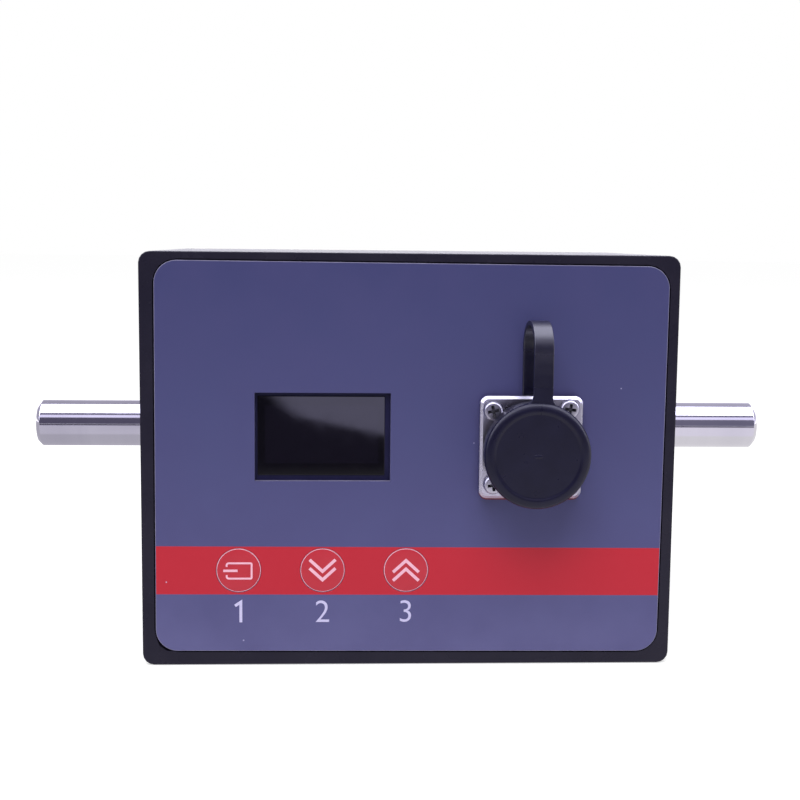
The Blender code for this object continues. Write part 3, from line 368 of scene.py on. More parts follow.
def turnedShape(section, steps=96, direction="X", middle=(0, 0, 0)):
    # a section of (along, radius) points spun about a line along X, or along Y with its start in front
    shape = bmesh.new()
    corners = [shape.verts.new((along, 0, radius)) for along, radius in section]
    edges = [shape.edges.new(pair) for pair in zip(corners, corners[1:])]
    if section[0][1] > 0:
        edges.append(shape.edges.new((corners[-1], corners[0])))
    bmesh.ops.spin(
        shape, geom=corners + edges, cent=(0, 0, 0), axis=(1, 0, 0), angle=2 * pi, steps=steps,
        use_merge=True, use_duplicate=False)
    bmesh.ops.remove_doubles(shape, verts=shape.verts, dist=1e-4)
    if direction == "Y":
        bmesh.ops.rotate(shape, cent=(0, 0, 0), matrix=Matrix.Rotation(pi / 2, 3, "Z"), verts=shape.verts)
    bmesh.ops.translate(shape, vec=middle, verts=shape.verts)
    bmesh.ops.recalc_face_normals(shape, faces=shape.faces)
    return shape


def softenEdges(shape, width, segments=3, sharpest=radians(180), mildest=radians(30), where=None):
    bmesh.ops.recalc_face_normals(shape, faces=shape.faces)
    edges = [
        edge for edge in shape.edges
        if len(edge.link_faces) == 2 and mildest < edge.calc_face_angle() <= sharpest
        and (where is None or where(edge))]
    bmesh.ops.bevel(
        shape, geom=edges, offset=width, segments=segments, affect="EDGES", profile=0.5, material=-1,
        clamp_overlap=True)


def addRectangle(shape, middle, size, corner=0.0, segments=12, skew=0.0):
    corners = bmesh.ops.create_grid(shape, x_segments=1, y_segments=1, size=0.5)["verts"]
    bmesh.ops.scale(shape, vec=(*size, 1), verts=corners)
    bmesh.ops.rotate(shape, cent=(0, 0, 0), matrix=Matrix.Rotation(-radians(skew), 3, "Z"), verts=corners)
    bmesh.ops.translate(shape, vec=(*middle, 0), verts=corners)
    if corner:
        bmesh.ops.bevel(
            shape, geom=corners, offset=corner, segments=segments, affect="VERTICES", profile=0.5,
            material=-1)


def slabShape(middle, size, front, back, corner=0.0, steps=12, skew=0.0, rim=0.0, rimSteps=1):
    # an upright plate with round corners and a rounded or chamfered front edge
    shape = bmesh.new()
    addRectangle(shape, middle, size, corner, steps, skew)
    drawOut(shape, (0, 0, front - back))
    bmesh.ops.recalc_face_normals(shape, faces=shape.faces)
    if rim:
        edges = [edge for edge in shape.edges if all(abs(end.co.z) < 1e-4 for end in edge.verts)]
        bmesh.ops.bevel(
            shape, geom=edges, offset=rim, segments=rimSteps, affect="EDGES", profile=0.5, material=-1)
    bmesh.ops.translate(shape, vec=(0, 0, -front), verts=shape.verts)
    bmesh.ops.transform(shape, matrix=upright, verts=shape.verts)
    return shape


def rodShape(x, z, front, back, radius, steps=64):
    # a plain round bar along Y
    section = [(0, 0), (0, radius), (back - front, radius), (back - front, 0)]
    return turnedShape(section, steps, "Y", (x, front, z))


def boxShape(middle, size, taper=1.0):
    # a block whose far end along +Y is taper times its near end
    shape = bmesh.new()
    corners = bmesh.ops.create_cube(shape, size=1.0)["verts"]
    bmesh.ops.scale(shape, vec=size, verts=corners)
    far = [corner for corner in corners if corner.co.y > 0]
    bmesh.ops.scale(shape, vec=(taper, 1, taper), verts=far)
    bmesh.ops.translate(shape, vec=middle, verts=corners)
    return shape


def combine(shape, tools, operation):
    # a boolean of one shape with several others
    holders = []
    for part in (shape, tools):
        mesh = bpy.data.meshes.new("part")
        if isinstance(part, list):
            whole = bmesh.new()
            for tool in part:
                bmesh.ops.recalc_face_normals(tool, faces=tool.faces)
                spare = bpy.data.meshes.new("spare")
                tool.to_mesh(spare)
                tool.free()
                whole.from_mesh(spare)
                bpy.data.meshes.remove(spare)
            part = whole
        part.to_mesh(mesh)
        part.free()
        holders.append(placeObject("part", mesh))
    base, tool = holders
    change = base.modifiers.new("change", "BOOLEAN")
    change.object = tool
    change.operation = operation
    change.solver = "EXACT"
    bpy.context.view_layer.update()
    result = bmesh.new()
    result.from_object(base, bpy.context.evaluated_depsgraph_get())
    for holder in holders:
        mesh = holder.data
        bpy.data.objects.remove(holder)
        bpy.data.meshes.remove(mesh)
    return result


def makePiece(name, shape, finishes, body, replaced=(), smooth=30):
    bmesh.ops.scale(shape, vec=(mm, mm, mm), verts=shape.verts)
    bmesh.ops.remove_doubles(shape, verts=shape.verts, dist=1e-7)
    bmesh.ops.recalc_face_normals(shape, faces=shape.faces)
    mesh = bpy.data.meshes.new(name)
    shape.to_mesh(mesh)
    shape.free()
    mesh.shade_smooth()
    mesh.set_sharp_from_angle(angle=radians(smooth))
    for finish in finishes:
        mesh.materials.append(finish)
    piece = placeObject(name, mesh)
    if body:
        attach(piece, body)
    if replaced:
        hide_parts(*replaced)
    even = piece.modifiers.new("normals", "WEIGHTED_NORMAL")  # keeps the flats flat beside round edges
    even.keep_sharp = True
    even.weight = 100
    return piece


def mergedCopy(node):
    # the frame's own solid with its corners joined, in millimetres
    shape = bmesh.new()
    shape.from_mesh(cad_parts[node].data)
    bmesh.ops.scale(shape, vec=(1 / mm, 1 / mm, 1 / mm), verts=shape.verts)
    bmesh.ops.remove_doubles(shape, verts=shape.verts, dist=1e-3)
    bmesh.ops.dissolve_limit(
        shape, angle_limit=radians(0.5), use_dissolve_boundaries=False, verts=shape.verts,
        edges=shape.edges)
    return shape


# Body

bodyLook = {
    "edgeRound": 0.14, "chamferAngles": (40, 50), "corner": 2.2, "frontChamfer": 0.4, "frontEdge": 0.13}


def narrowChamfer(shape, low, high, look):
    # draws the front chamfer of the frame out to its sides, so that a finer one is left
    corner, before, after = look["corner"], look["frontChamfer"], look["frontEdge"]
    for point in shape.verts:
        centreX = min(max(point.co.x, low.x + corner), high.x - corner)
        centreZ = min(max(point.co.z, low.z + corner), high.z - corner)
        away = Vector((point.co.x - centreX, 0, point.co.z - centreZ))
        depth = point.co.y - low.y
        if depth < tiny and abs(away.length - corner + before) < 3 * tiny:
            point.co += away.normalized() * (before - after)
        elif abs(depth - before) < tiny and abs(away.length - corner) < 3 * tiny:
            point.co.y = low.y + after


def makeBody(look):
    mild, sharp = (radians(angle) for angle in look["chamferAngles"])
    shape = mergedCopy("housing")
    softenEdges(shape, look["edgeRound"], 3, sharp, mild)
    makePiece("housingBlock", shape, [blackAnodised], "sensor_body", ["housing"])
    shape = mergedCopy("front_frame")
    narrowChamfer(shape, *nodeBox("front_frame"), look)
    makePiece("frontFrame", shape, [blackAnodised], "sensor_body", ["front_frame"])


makeBody(bodyLook)
print("body made")

carrierLook = {
    "seatRadius": 14.15, "throatRadius": 5.5, "lip": 2.1, "rimChamfer": 0.5, "round": 0.12,
    "screwHole": 1.3, "headHole": 2.0, "headDepth": 1.1, "gap": 0.05,
}


def makeCarrier(side, word, look):
    low, high = nodeBox(f"bearing_carrier_{word}")
    spigot = nodeBox(f"stator_coil_{word}")
    middle = (0, 0, (low.z + high.z) / 2)
    rim = (high.z - low.z) / 2
    inner, outer = sorted((abs(low.x), abs(high.x)))
    face = max(abs(corner.x) for corner in nodeBox("housing")) + look["gap"]
    spigotRadius = (spigot[1].z - spigot[0].z) / 2
    chamfer = look["rimChamfer"]
    section = [
        (inner, look["seatRadius"]), (inner, spigotRadius), (face, spigotRadius), (face, rim),
        (outer - chamfer, rim), (outer, rim - chamfer), (outer, look["throatRadius"]),
        (face - look["lip"], look["throatRadius"]), (face - look["lip"], look["seatRadius"])]
    shape = turnedShape([(side * along, radius) for along, radius in section], middle=middle)
    softenEdges(shape, look["round"], 2)
    tools = []
    for number in (1, 2, 3):
        node = f"carrier_screw_{word}_{number}"
        screwLow, screwHigh = nodeBox(node)
        place = (0, (screwLow.y + screwHigh.y) / 2, (screwLow.z + screwHigh.z) / 2)
        seat = outer - look["headDepth"]
        hole = [
            (face - 1, 0), (face - 1, look["screwHole"]), (seat, look["screwHole"]),
            (seat, look["headHole"]), (outer + 1, look["headHole"]), (outer + 1, 0)]
        tools.append(turnedShape([(side * along, radius) for along, radius in hole], 40, middle=place))
    shape = combine(shape, tools, "DIFFERENCE")
    makePiece(
        f"bearingCarrier_{word}", shape, [blackAnodised], "sensor_body",
        [f"bearing_carrier_{word}"])


for side, word in ((-1, "left"), (1, "right")):
    makeCarrier(side, word, carrierLook)
print("bearing carriers made")

# Shaft

shaftLook = {
    "endRadius": 5.0, "endChamfer": 0.9, "centreHole": 1.5, "centreAngle": 30, "journalRadius": 6.0,
    "seatRadius": 7.5, "thinRadius": 4.5, "thinHalf": 9.0, "round": 0.1, "shoulderGap": 0.3,
}


def makeShaft(look):
    low, high = nodeBox("torsion_shaft")
    bearing = nodeBox("bearing_inner_right")
    end, shoulder, journalEnd = high.x, bearing[0].x - look["shoulderGap"], bearing[1].x
    fillet = look["seatRadius"] - look["thinRadius"]
    half = [
        (look["thinHalf"] + fillet * sin(turn), look["seatRadius"] - fillet * cos(turn))
        for turn in (pi / 16 * step for step in range(9))]
    half += [
        (shoulder, look["seatRadius"]), (shoulder, look["journalRadius"]),
        (journalEnd, look["journalRadius"]), (journalEnd, look["endRadius"]),
        (end - look["endChamfer"], look["endRadius"]), (end, look["endRadius"] - look["endChamfer"]),
        (end, look["centreHole"]),
        (end - look["centreHole"] / tan(radians(look["centreAngle"])), 0)]
    section = [(-along, radius) for along, radius in reversed(half)] + half
    shape = turnedShape(section, 128, middle=(0, 0, (low.z + high.z) / 2))
    softenEdges(shape, look["round"], 3, where=lambda edge: abs(edge.verts[0].co.x) > journalEnd)
    makePiece("groundShaft", shape, [groundSteel], "shaft", ["torsion_shaft"])


makeShaft(shaftLook)
print("shaft made")

# Front panel, keys and printing

faceLook = {
    "corner": 4.3, "cornerSteps": 20, "edge": 0.13, "edgeSteps": 2,
    "window": (-16.79, 44.84), "windowSize": (26.0, 17.08),
    "keyHole": 4.37, "tailHole": 8.3, "screwHole": 1.3,
}


def makePanel(look):
    low, high = nodeBox("front_panel")
    middle, skew = panelLook["middle"], panelLook["skew"]
    lean = sin(radians(skew))
    height = ((high.z - low.z) - (high.x - low.x) * lean) / (1 - lean * lean)
    width = (high.x - low.x) - height * lean
    shape = slabShape(
        middle, (width, height), low.y, high.y, look["corner"], look["cornerSteps"], skew,
        look["edge"], look["edgeSteps"])
    reach = (low.y - 1, high.y + 1)
    x, z = look["window"]
    across, up = look["windowSize"]
    tools = [boxShape((x, low.y, z), (across, 4, up))]
    for number in (1, 2, 3):
        key = nodeMiddle(f"key_cap_{number}")
        tools.append(rodShape(key.x, key.z, *reach, look["keyHole"], 96))
    socket = nodeMiddle("connector_shell")
    tools.append(rodShape(socket.x, socket.z, *reach, look["tailHole"]))
    for number in (1, 2, 3, 4):
        screw = nodeMiddle(f"flange_screw_{number}")
        tools.append(rodShape(screw.x, screw.z, *reach, look["screwHole"], 32))
    shape = combine(shape, tools, "DIFFERENCE")
    shape.normal_update()
    # front faces take the print; all other faces take the paler edge colour with its painted highlight
    for face in shape.faces:
        face.material_index = 0 if face.normal.y < -0.99 else 1
    makePiece(
        "printedPanel", shape, [printedFilm, filmEdgeAndHighlight], "sensor_body", ["front_panel"])


makePanel(faceLook)

paneLook = {
    "middle": (-17.08, 44.93), "size": (24.45, 15.35), "proud": 0.2, "sunk": 0.1, "corner": 0.2,
    "rim": 0.1,
}


def makePane(look):
    # the glass that covers the display, smaller than the dark surround that carries it; the surround is
    # the display's own border, tinted navy as painted shade from the window's walls
    front = nodeBox("display_glass")[0].y
    shape = slabShape(
        look["middle"], look["size"], front - look["proud"], front + look["sunk"], look["corner"], 4,
        rim=look["rim"], rimSteps=2)
    makePiece("displayPane", shape, [displayGlass], "sensor_body")


makePane(paneLook)

keyLook = {
    "radius": 4.3, "edge": 0.15, "edgeSteps": 3, "ring": 1.2, "crown": 0.03, "wall": 1.0, "skin": 1.4,
    "postRadius": 1.6, "collarThickness": 1.5, "inkHeight": 0.03,
    "frameLine": 0.36, "barLine": 0.48, "chevronLine": 0.6,
}


def strokeShape(path, place, front, closed=False):
    # a line drawn in XZ about a place, as a ribbon on edge; Solidify gives it its width
    shape = bmesh.new()
    points = [shape.verts.new((place[0] + x, front, place[1] + z)) for x, z in path]
    edges = [shape.edges.new(pair) for pair in zip(points, points[1:])]
    if closed:
        edges.append(shape.edges.new((points[-1], points[0])))
    drawOut(shape, (0, keyLook["inkHeight"], 0), edges)
    return shape


def makeStroke(name, shape, width, body, finish):
    piece = makePiece(name, shape, [finish], body)
    piece.modifiers.clear()
    piece.data.shade_flat()
    thick = piece.modifiers.new("width", "SOLIDIFY")
    thick.thickness = width * mm
    thick.offset = 0
    thick.use_even_offset = True
    return piece


def bend(middle, radius, start, end, steps=8):
    turns = [radians(start + (end - start) * step / steps) for step in range(steps + 1)]
    return [(middle[0] + radius * cos(turn), middle[1] + radius * sin(turn)) for turn in turns]


def enterSign(look):
    # a frame with rounded corners, open at its left, and a bar that goes in
    left, right, top, bottom, corner, tight = -2.3, 2.5, 1.4, -1.62, 0.4, 0.2
    frameLine = [(left, 0.7)]
    frameLine += bend((left + corner, top - corner), corner, 180, 90)
    frameLine += bend((right - tight, top - tight), tight, 90, 0)
    frameLine += bend((right - tight, bottom + tight), tight, 0, -90)
    frameLine += bend((left + corner, bottom + corner), corner, -90, -180)
    frameLine += [(left, -0.9)]
    return [(frameLine, look["frameLine"]), ([(-2.95, -0.08), (-0.2, -0.08)], look["barLine"])]


def chevronSign(way, look):
    # two nested arrow heads that point up (1) or down (-1)
    half, rise, tips = 2.5, 2.3, (0.22, 1.9)
    return [
        ([(-half, way * (tip - rise)), (0, way * tip), (half, way * (tip - rise))], look["chevronLine"])
        for tip in tips]


def makeKeys(look):
    signs = (enterSign(look), chevronSign(-1, look), chevronSign(1, look))
    for number, sign in enumerate(signs, 1):
        low, high = nodeBox(f"key_cap_{number}")
        middle = (low + high) / 2
        collar = (high.x - low.x) / 2
        length = high.y - low.y
        radius, edge = look["radius"], look["edge"]
        inside = radius - look["wall"]
        shoulder = length - look["collarThickness"]
        section = [(0, 0), (look["crown"] / 2, radius / 2), (look["crown"], radius - edge)]
        section += [
            (look["crown"] + edge * (1 - cos(turn)), radius - edge * (1 - sin(turn)))
            for turn in (pi / 2 * step / look["edgeSteps"] for step in range(1, look["edgeSteps"] + 1))]
        section += [
            (shoulder, radius), (shoulder, collar), (length, collar), (length, inside),
            (look["skin"], inside), (look["skin"], look["postRadius"]), (length, look["postRadius"]),
            (length, 0)]
        shape = turnedShape(section, 96, "Y", (middle.x, low.y, middle.z))
        # the pale ring on the cap's rounded edge is a painted highlight, in the same pink as the printed
        # sign
        rim = radius - edge * look["ring"]
        chooseFaces(shape, middle, lambda reach, y: reach > rim and y < low.y + 2 * edge)
        makePiece(
            f"keyCap_{number}", shape, [keyRed, pinkInkAndRimHighlight], f"key_{number}",
            [f"key_cap_{number}"])
        for part, (line, width) in enumerate(sign, 1):
            shape = strokeShape(line, (middle.x, middle.z), low.y - look["inkHeight"] / 2)
            makeStroke(
                f"keySign_{number}_{part}", shape, width, f"key_{number}", pinkInkAndRimHighlight)


makeKeys(keyLook)

numberLook = {
    "height": 4.3, "below": 8.15, "thin": -0.008, "relief": 0.01, "inkHeight": 0.03, "one": 0.56,
    "oneLine": ((-0.72, 1.12), (0.4, 1.87), (0.4, -2.15))}  # a stroke's width, and its line


def makeNumbers(look):
    front = nodeBox("front_panel")[0].y
    key = nodeMiddle("key_cap_1")
    shape = strokeShape(look["oneLine"], (key.x, key.z - look["below"]), front - look["inkHeight"] / 2)
    makeStroke("keyNumber_1", shape, look["one"], "sensor_body", paleInk)
    for number in (2, 3):
        letter = bpy.data.curves.new(f"number_{number}", "FONT")
        letter.body = str(number)
        letter.offset = look["thin"]
        letter.extrude = look["relief"]
        holder = placeObject(f"number_{number}", letter)
        bpy.context.view_layer.update()
        graph = bpy.context.evaluated_depsgraph_get()
        drawn = bpy.data.meshes.new_from_object(holder.evaluated_get(graph))
        shape = bmesh.new()
        shape.from_mesh(drawn)
        bpy.data.meshes.remove(drawn)
        bpy.data.objects.remove(holder)
        bpy.data.curves.remove(letter)
        across = [corner.co.x for corner in shape.verts]
        up = [corner.co.y for corner in shape.verts]
        size = look["height"] / (max(up) - min(up))
        key = nodeMiddle(f"key_cap_{number}")
        middle = Vector(((min(across) + max(across)) / 2, (min(up) + max(up)) / 2, 0))
        bmesh.ops.translate(shape, vec=-middle, verts=shape.verts)
        deep = look["inkHeight"] / (2 * look["relief"])
        bmesh.ops.scale(shape, vec=(size, size, deep), verts=shape.verts)
        bmesh.ops.transform(shape, matrix=upright, verts=shape.verts)
        bmesh.ops.translate(shape, vec=(key.x, front, key.z - look["below"]), verts=shape.verts)
        makePiece(f"keyNumber_{number}", shape, [paleInk], "sensor_body")


makeNumbers(numberLook)
print("panel, keys and numbers made")

# Connector, its screws, cap and strap

socketLook = {
    "middle": (22.95, 43.39), "size": (19.6, 19.7), "corner": 1.5, "rim": 0.5, "rimSteps": 1,
    "screwHole": 1.3, "barrelRadius": 8.2, "bore": 7.0, "tailRadius": 7.8, "lipBore": 5.75,
    "lip": 1.2, "flangeThickness": 2.0, "barrelChamfer": 0.4,
    "gasketMiddle": (23.1, 42.92), "gasketSize": (19.5, 19.9), "gap": 0.05,
}


def makeSocket(look):
    low, high = nodeBox("connector_shell")
    middle = (low + high) / 2
    gasketFront, gasketBack = (corner.y for corner in nodeBox("flange_gasket"))
    flangeBack = gasketFront - look["gap"]
    flangeFront = flangeBack - look["flangeThickness"]
    shape = slabShape(
        look["middle"], look["size"], flangeFront, flangeBack, look["corner"], rim=look["rim"],
        rimSteps=look["rimSteps"])
    outer, chamfer = look["barrelRadius"], look["barrelChamfer"]
    inside = (flangeFront + flangeBack) / 2 - low.y
    length = high.y - low.y
    barrel = [
        (0, 0), (0, outer - chamfer), (chamfer, outer), (inside, outer), (inside, look["tailRadius"]),
        (length, look["tailRadius"]), (length, 0)]
    place = (middle.x, low.y, middle.z)
    shape = combine(shape, [turnedShape(barrel, 96, "Y", place)], "UNION")
    bore = [
        (-1, 0), (-1, look["bore"]), (length - look["lip"], look["bore"]),
        (length - look["lip"], look["lipBore"]), (length + 1, look["lipBore"]), (length + 1, 0)]
    tools = [turnedShape(bore, 96, "Y", place)]
    gasket = slabShape(look["gasketMiddle"], look["gasketSize"], gasketFront, gasketBack, look["corner"])
    gasketTools = [rodShape(middle.x, middle.z, gasketFront - 1, gasketBack + 1, look["barrelRadius"])]
    for number in (1, 2, 3, 4):
        screw = nodeMiddle(f"flange_screw_{number}")
        for holes in (tools, gasketTools):
            holes.append(
                rodShape(screw.x, screw.z, flangeFront - 1, gasketBack + 1, look["screwHole"], 32))
    shape = combine(shape, tools, "DIFFERENCE")
    makePiece("socketShell", shape, [satinNickel], "sensor_body", ["connector_shell"])
    gasket = combine(gasket, gasketTools, "DIFFERENCE")
    makePiece("flangeSeal", gasket, [silicone], "sensor_body", ["flange_gasket"])


makeSocket(socketLook)

screwLook = {
    "top": 0.72, "dome": 0.75, "shankRadius": 1.0, "point": 0.5, "slot": 0.62, "span": 2.35,
    "depth": 1.0, "over": 0.1, "taper": 0.55, "turns": (8, -11, -8, 15),
    "shifts": ((-0.28, 0.1), (-0.2, -0.27), (0.03, 0.25), (0, 0)),
}


def makeScrew(number, look):
    node = f"flange_screw_{number}"
    low, high = nodeBox(node)
    over = look["over"]
    shiftX, shiftZ = look["shifts"][number - 1]
    middle = (low + high) / 2 + Vector((shiftX, 0, shiftZ))
    radius = (high.x - low.x) / 2
    seat = nodeBox("flange_gasket")[0].y - socketLook["flangeThickness"] - over - low.y
    length = high.y - low.y
    section = [(0, 0), (0, radius * look["top"])]
    section += [
        (seat * look["dome"] * (1 - cos(turn)), radius * (look["top"] + (1 - look["top"]) * sin(turn)))
        for turn in (pi / 12 * step for step in range(1, 7))]
    section += [
        (seat, radius), (seat, look["shankRadius"]), (length - look["point"], look["shankRadius"]),
        (length, look["shankRadius"] / 2), (length, 0)]
    shape = turnedShape(section, 48, "Y", (middle.x, low.y, middle.z))
    place = (middle.x, low.y + look["depth"] / 2 - over, middle.z)
    depth = look["depth"] + 2 * over
    turn = Matrix.Rotation(radians(look["turns"][number - 1]), 3, "Y")
    for size in ((look["span"], depth, look["slot"]), (look["slot"], depth, look["span"])):
        tool = boxShape((0, 0, 0), size, look["taper"])
        bmesh.ops.rotate(tool, cent=(0, 0, 0), matrix=turn, verts=tool.verts)
        bmesh.ops.translate(tool, vec=place, verts=tool.verts)
        shape = combine(shape, [tool], "DIFFERENCE")
    wide = look["span"] / 2 + over
    # faces inside the cross recess take the painted shade and glints
    chooseFaces(shape, middle, lambda reach, y: reach < wide and y > low.y + over / 2)
    makePiece(
        f"flangeScrew_{number}", shape, [screwSteel, recessShadeAndGlints], "sensor_body",
        [node])


for number in (1, 2, 3, 4):
    makeScrew(number, screwLook)
print("connector and screws made")

capLook = {
    "drop": 0.36, "ridge": 8.35, "recess": 0.22, "slopeWidth": 1.5, "slopeDepth": 1.15,
    "ridgeSteps": ((1, 0.62), (0.9, 0.5), (0.5, 0.32), (0.1, 0.12), (0, 0)),
    "taper": 0.5, "bore": 8.6, "faceThickness": 1.5, "mark": (0.85, 0.13, 0.4), "tabFillet": 1.7,
    "tabHeight": 2.76, "tabRoot": 2.0, "tabOffset": 0.8, "tabFront": 0.9, "tabWidth": 3.6,
    "tabThickness": 0.9, "tabRound": 0.22,
}


def makeCap(look):
    low, high = nodeBox("dust_cap")
    radius = (high.x - low.x) / 2
    middle = (low.x + radius, low.z + radius - look["drop"])
    length = high.y - low.y
    ridge, recess, bore = look["ridge"], look["recess"], look["bore"]
    wide, deep = radius - look["slopeWidth"], look["slopeDepth"]
    section = [(recess * share, ridge - away) for share, away in ((1, ridge), *look["ridgeSteps"])]
    section += [
        (deep * (1 - cos(turn)), wide + look["slopeWidth"] * sin(turn))
        for turn in (pi / 20 * step for step in range(1, 11))]
    section += [(length, radius - look["taper"]), (length, bore), (look["faceThickness"], bore)]
    section += [(look["faceThickness"], 0)]
    shape = turnedShape(section, 128, "Y", (middle[0], low.y, middle[1]))

    fillet = look["tabFillet"]
    top, root = radius + look["tabHeight"], radius - look["tabRoot"]
    sides = []
    for way in (1, -1):  # each side of the tab runs into the round of the cap in a fillet
        side = look["tabWidth"] / 2 + way * look["tabOffset"]
        out = side + fillet
        up = ((radius + fillet) ** 2 - out ** 2) ** 0.5
        flare = bend((out, up), fillet, 180, 270 - degrees(atan2(out, up)), 12)
        line = [(side, top)] + flare + [(flare[-1][0], root)]
        sides.append([(way * x, z) for x, z in line])
    tab = bmesh.new()
    corners = [
        tab.verts.new((middle[0] + x, middle[1] + z, 0)) for x, z in sides[0] + sides[1][::-1]]
    tab.faces.new(corners)
    drawOut(tab, (0, 0, -look["tabThickness"]))
    bmesh.ops.translate(tab, vec=(0, 0, -low.y - look["tabFront"]), verts=tab.verts)
    bmesh.ops.transform(tab, matrix=upright, verts=tab.verts)
    softenEdges(
        tab, look["tabRound"], 3,
        where=lambda edge: abs(edge.verts[0].co.y - edge.verts[1].co.y) < tiny
        and min(corner.co.z for corner in edge.verts) < middle[1] + top - tiny
        and max(corner.co.z for corner in edge.verts) > middle[1] + root + tiny)
    shape = combine(shape, [tab], "UNION")
    makePiece("dustCap", shape, [rubber], "dust_cap", ["dust_cap"])
    mark = bmesh.new()  # where the mould was fed
    bmesh.ops.create_uvsphere(mark, u_segments=32, v_segments=16, radius=1)
    bmesh.ops.scale(mark, vec=look["mark"], verts=mark.verts)
    bmesh.ops.translate(mark, vec=(middle[0], low.y + recess, middle[1]), verts=mark.verts)
    makePiece("capMark", mark, [rubber], "dust_cap")


makeCap(capLook)

strapLook = {
    "thickness": 0.9, "round": 0.22, "bendSteps": 40, "lower": 1.0, "sidestep": -0.62, "buried": 1.2,
    "overlap": 0.04, "shineSteps": (1.9, 3.9),  # mm below the bend, where the front run grows duller
}


def makeStrap(look):
    low, high = nodeBox("dust_cap_strap")
    cap = nodeBox("dust_cap")
    thickness, width = look["thickness"], capLook["tabWidth"]
    front, back = low.y, high.y
    middleY = (front + back) / 2
    loop = (back - front) / 2
    turnZ = high.z - loop - look["lower"]
    tabTop = cap[1].z - look["overlap"]
    hidden = nodeBox("connector_shell")[1].z - look["buried"]
    middleX = (cap[0].x + cap[1].x) / 2 + capLook["tabOffset"]
    outline = [(front, tabTop)] + bend((middleY, turnZ), loop, 180, 0, look["bendSteps"])
    outline += [(back, hidden), (back - thickness, hidden)]
    outline += bend((middleY, turnZ), loop - thickness, 0, 180, look["bendSteps"])
    outline += [(front + thickness, tabTop)]
    shape = bmesh.new()
    side = [shape.verts.new((middleX - width / 2, y, z)) for y, z in outline]
    shape.faces.new(side)
    drawOut(shape, (width, 0, 0))
    softenEdges(
        shape, look["round"], 3,
        where=lambda edge: abs(edge.verts[0].co.x - edge.verts[1].co.x) < tiny
        and not all(abs(end.co.z - tabTop) < tiny for end in edge.verts)
        and not all(abs(end.co.z - hidden) < tiny for end in edge.verts))
    for point in shape.verts:
        share = (point.co.y - front) / (back - front)
        point.co.x += look["sidestep"] * share * share * (3 - 2 * share)
    for step in look["shineSteps"]:
        bmesh.ops.bisect_plane(
            shape, geom=shape.verts[:] + shape.edges[:] + shape.faces[:],
            plane_co=(0, 0, turnZ - step), plane_no=(0, 0, 1))
    for face in shape.faces:
        middle = face.calc_center_median()
        if middle.y < middleY:
            face.material_index = sum(middle.z < turnZ - step for step in look["shineSteps"])
    finishes = [strapRubber, strapMiddle, strapRoot]
    strap = makePiece("capStrap", shape, finishes, None, ["dust_cap_strap"])
    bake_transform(strap)


makeStrap(strapLook)
print("cap and strap made")

# Finishes of the pieces that keep the frame's own solids
keptFinishes = (
    (silicone, ("flange_gasket",)),
    (displayBorderAndShade, ("display_glass",)),
    (sealRubber, ("frame_gasket",)),
    (innerSteel, ("frame_screw_", "board_screw_", "bearing_inner_", "bearing_outer_", "speed_disc")),
    (screwSteel, ("carrier_screw_",)),
    (cageSteel, ("ball_cage_",)),
    (blackPlastic, ("connector_insert", "tact_switch_", "switch_plunger_", "speed_pickup")),
    (goldPlate, ("contact_pin_",)),
    (solderResist, ("display_board", "main_board", "rotor_board")),
    (enamelledWire, ("rotor_coil_", "stator_coil_")),
    (gaugeFilm, ("strain_gauge_",)),
    (blackAnodised, ("housing", "front_frame", "bearing_carrier_")),
    (printedFilm, ("front_panel",)),
    (keyRed, ("key_cap_",)),
    (groundSteel, ("torsion_shaft",)),
    (screwSteel, ("flange_screw_",)),
    (satinNickel, ("connector_shell",)),
    (rubber, ("dust_cap",)),
    (strapRubber, ("dust_cap_strap",)),
)
for finish, starts in keptFinishes:
    for name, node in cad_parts.items():
        if name.startswith(starts):
            for slot in node.material_slots:
                slot.material = finish
print("kept solids finished")

# Room, light and camera

roomLook = {
    "floorRadius": 6.0, "floorDrop": 0.0002, "floorColour": 0.80, "floorRoughness": 0.9,
    "floorLift": 0.55, "skyLight": 0.55, "cameraWhite": 1.0,
    "underFloor": ((-0.078, (0.575, 0.56, 0.63)), (0.085, (0.965, 0.955, 0.96))),
    "underEdge": (-0.040, -0.030),
    "frontFloor": (
        (-0.078, (0.68, 0.65, 0.79)), (-0.056, (0.07, 0.06, 0.10)), (0.018, (0.07, 0.06, 0.10)),
        (0.030, (0.80, 0.77, 0.92)), (0.040, (0.70, 0.67, 0.80)), (0.054, (0.26, 0.25, 0.32)),
        (0.090, (0.97, 0.93, 1.06))),  # m along X
    "nearFloor": ((-0.078, (0.69, 0.67, 0.77)), (0.02, (1.0, 0.97, 1.07)), (0.09, (1.0, 0.97, 1.07))),
    "nearEdge": (-0.27, -0.20),
    "farFloor": (0.05, 0.045, 0.08), "farEdge": (-0.44, -0.38),
    # painted light: a glowing patch on the floor that glossy surfaces show as a window's reflection
    "window": (1.75, 1.67, 2.5),
    "windowLines": (((-0.0361, -0.4244), (-0.0035, -0.368)), ((-0.0440, -0.4858), (-0.0340, -0.4244))),
    "windowSoft": 0.004, "windowEnd": (-0.60, -0.56), "windowSide": (0.03, 0.06),
    "sideHaze": (0.09, 0.09, 0.115), "sideEdge": (0.12, 0.26),
    "bands": (
        (-180, (0.75, 0.73, 0.83)), (0.5, (0.75, 0.73, 0.83)), (2.5, (0.115, 0.105, 0.165)),
        (32, (0.125, 0.115, 0.175)), (34.5, (1.15, 1.10, 1.42)), (46, (1.15, 1.10, 1.42)),
        (47.8, (0.20, 0.19, 0.27)), (57, (0.20, 0.19, 0.27)), (59.4, (4.6, 4.6, 5.6)),
        (86, (4.6, 4.6, 5.6)), (87, (1.15, 1.16, 1.15)), (89, (1.15, 1.16, 1.15)),
        (90, (4.6, 4.6, 5.6)), (111, (4.6, 4.6, 5.6)), (114, (0.50, 0.48, 0.58)),
        (164, (0.52, 0.50, 0.61)), (170, (1.8, 1.77, 1.94))),  # degrees up from the front
}


